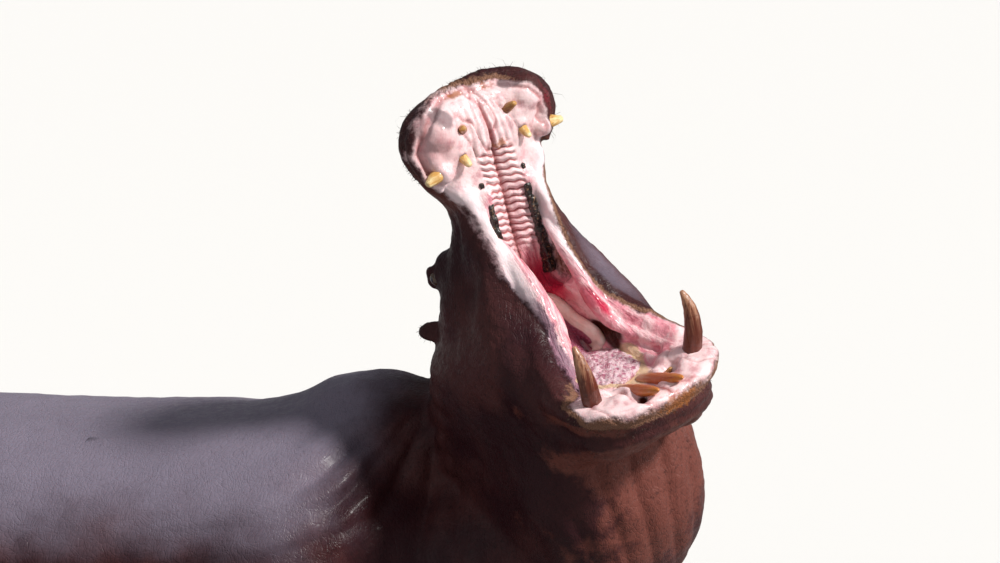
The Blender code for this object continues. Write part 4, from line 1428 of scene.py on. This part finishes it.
def build_bristles(skin):
    made, nodes = new_material("bristle")
    grain = nodes.noise(400.0, 2.0)
    colour = nodes.between(grain.ranged(0.3, 0.7), (0.02, 0.011, 0.008), (0.13, 0.075, 0.05))
    rough = grain.ranged(0.3, 0.7, 0.35, 0.6)
    nodes.shade(Base_Color=colour, Roughness=rough, Normal=(grain * 0.0002).bumped())
    points, facing = places(skin.data), normals(skin.data)
    weights = bristle_roots(points)
    for kind, (count, length, thickness, lie) in BRISTLES.items():
        chosen = rng.choice(len(points), count, p=weights[kind] / weights[kind].sum())
        roots = points[chosen] + rng.uniform(-0.003, 0.003, (count, 3)) - facing[chosen] * 0.0015
        over = rng.normal(0, 0.6, (count, 3)) + np.array((0, 0.5, -0.5))
        lengths = length * rng.uniform(0.55, 1.25, count)
        corners = combed(roots, facing[chosen], over, lengths, thickness, lie)
        firsts = range(0, 7 * count, 7)
        faces = [tuple(first + corner for corner in side) for first in firsts for side in BRISTLE_SIDES]
        mesh = bpy.data.meshes.new(f"bristles_{kind}")
        mesh.from_pydata(corners.reshape(-1, 3).tolist(), [], faces)
        layer = mesh.uv_layers.new(name="OFBake")
        owners = np.empty(len(mesh.loops), np.int32)
        mesh.loops.foreach_get("vertex_index", owners)
        spots = unrolled(roots)[owners // 7] + np.array(BRISTLE_UV)[owners % 7] * UV_STEP
        layer.data.foreach_set("uv", spots.ravel())
        piece = bpy.data.objects.new(f"bristles_{kind}", mesh)
        bpy.context.scene.collection.objects.link(piece)
        finished(piece, made, "hide")


# --- Camera, lights and floor ---

CAMERA_AZIMUTH = -74.9
CAMERA_RISE = 13.5
CAMERA_DISTANCE = 13.0
FIELD_WIDTH = 2.69  # metres across the view at the jaw joint
JOINT_OFF_CENTRE = (0.0627, -0.0756)  # the joint's place right of and above the view's middle
SENSOR_WIDTH = 36
# Each light's direction as right, up and back of the camera, its strength, its width in degrees and colour.
LIGHTS = {
    "key": ((0.63, 0.62, 0.5), 3.8, 9, (1, 0.97, 0.93)),
    "side": ((0.95, 0.38, 0.12), 1.1, 30, (1, 0.97, 0.95)),
    "fill": ((-0.55, 0.3, 0.78), 0.3, 60, (1, 0.96, 0.95)),
}


def camera_axes():
    turn, rise = math.radians(CAMERA_AZIMUTH), math.radians(CAMERA_RISE)
    back = Vector((math.sin(turn) * math.cos(rise), -math.cos(turn) * math.cos(rise), math.sin(rise)))
    right = Vector((math.cos(turn), math.sin(turn), 0))
    return right, back.cross(right), back


def aimed(away):
    """Turns the active camera or light to look along -away."""
    made = bpy.context.active_object
    made.rotation_mode = "QUATERNION"
    made.rotation_quaternion = (-away).to_track_quat("-Z", "Y")
    return made


def add_camera():
    right, up, back = camera_axes()
    aim = JAW_JOINT - right * JOINT_OFF_CENTRE[0] - up * JOINT_OFF_CENTRE[1]
    deselect()
    bpy.ops.object.camera_add(location=aim + back * CAMERA_DISTANCE)
    camera = aimed(back)
    camera.data.sensor_width = SENSOR_WIDTH
    camera.data.lens = SENSOR_WIDTH * CAMERA_DISTANCE / FIELD_WIDTH
    camera.data.clip_end = 200
    bpy.context.scene.camera = camera


def add_light(name, direction, strength, width, colour):
    """A far, soft light."""
    away = sum((axis * share for axis, share in zip(camera_axes(), direction)), Vector()).normalized()
    deselect()
    bpy.ops.object.light_add(type="SUN", location=JAW_JOINT + away * 8)
    light = aimed(away)
    light.name = name
    light.data.energy = strength
    light.data.angle = math.radians(width)
    light.data.color = colour


def add_studio():
    bpy.context.scene.view_settings.view_transform = "Standard"
    for name, settings in LIGHTS.items():
        add_light(name, *settings)
    world = bpy.data.worlds.new("studio")
    world.use_nodes = True
    nodes, light = Nodes(world.node_tree), world.node_tree.nodes["Background"].inputs
    direct = nodes.add("LightPath", "Is Camera Ray", {})
    nodes.feed(light["Color"], nodes.between(direct, (0.9, 0.94, 1.0), (0.93, 0.93, 0.92)))
    nodes.feed(light["Strength"], direct.ranged(0.0, 1.0, 0.2, 1.0))
    bpy.context.scene.world = world
    deselect()
    bpy.ops.mesh.primitive_plane_add(size=160)
    floor = bpy.context.active_object
    floor.name = "floor"
    made, nodes = new_material("floor")
    direct = nodes.add("LightPath", "Is Camera Ray", {})
    nodes.shade(Base_Color=nodes.between(direct, (0.26, 0.25, 0.25), (0.84, 0.84, 0.83)), Roughness=0.8)
    floor.data.materials.append(made)


# --- Everything together ---

add_camera()
add_studio()
skin = build_skin()
build_teeth()
build_molars()
build_tongue()
build_eyes()
build_nails()
build_bristles(skin)
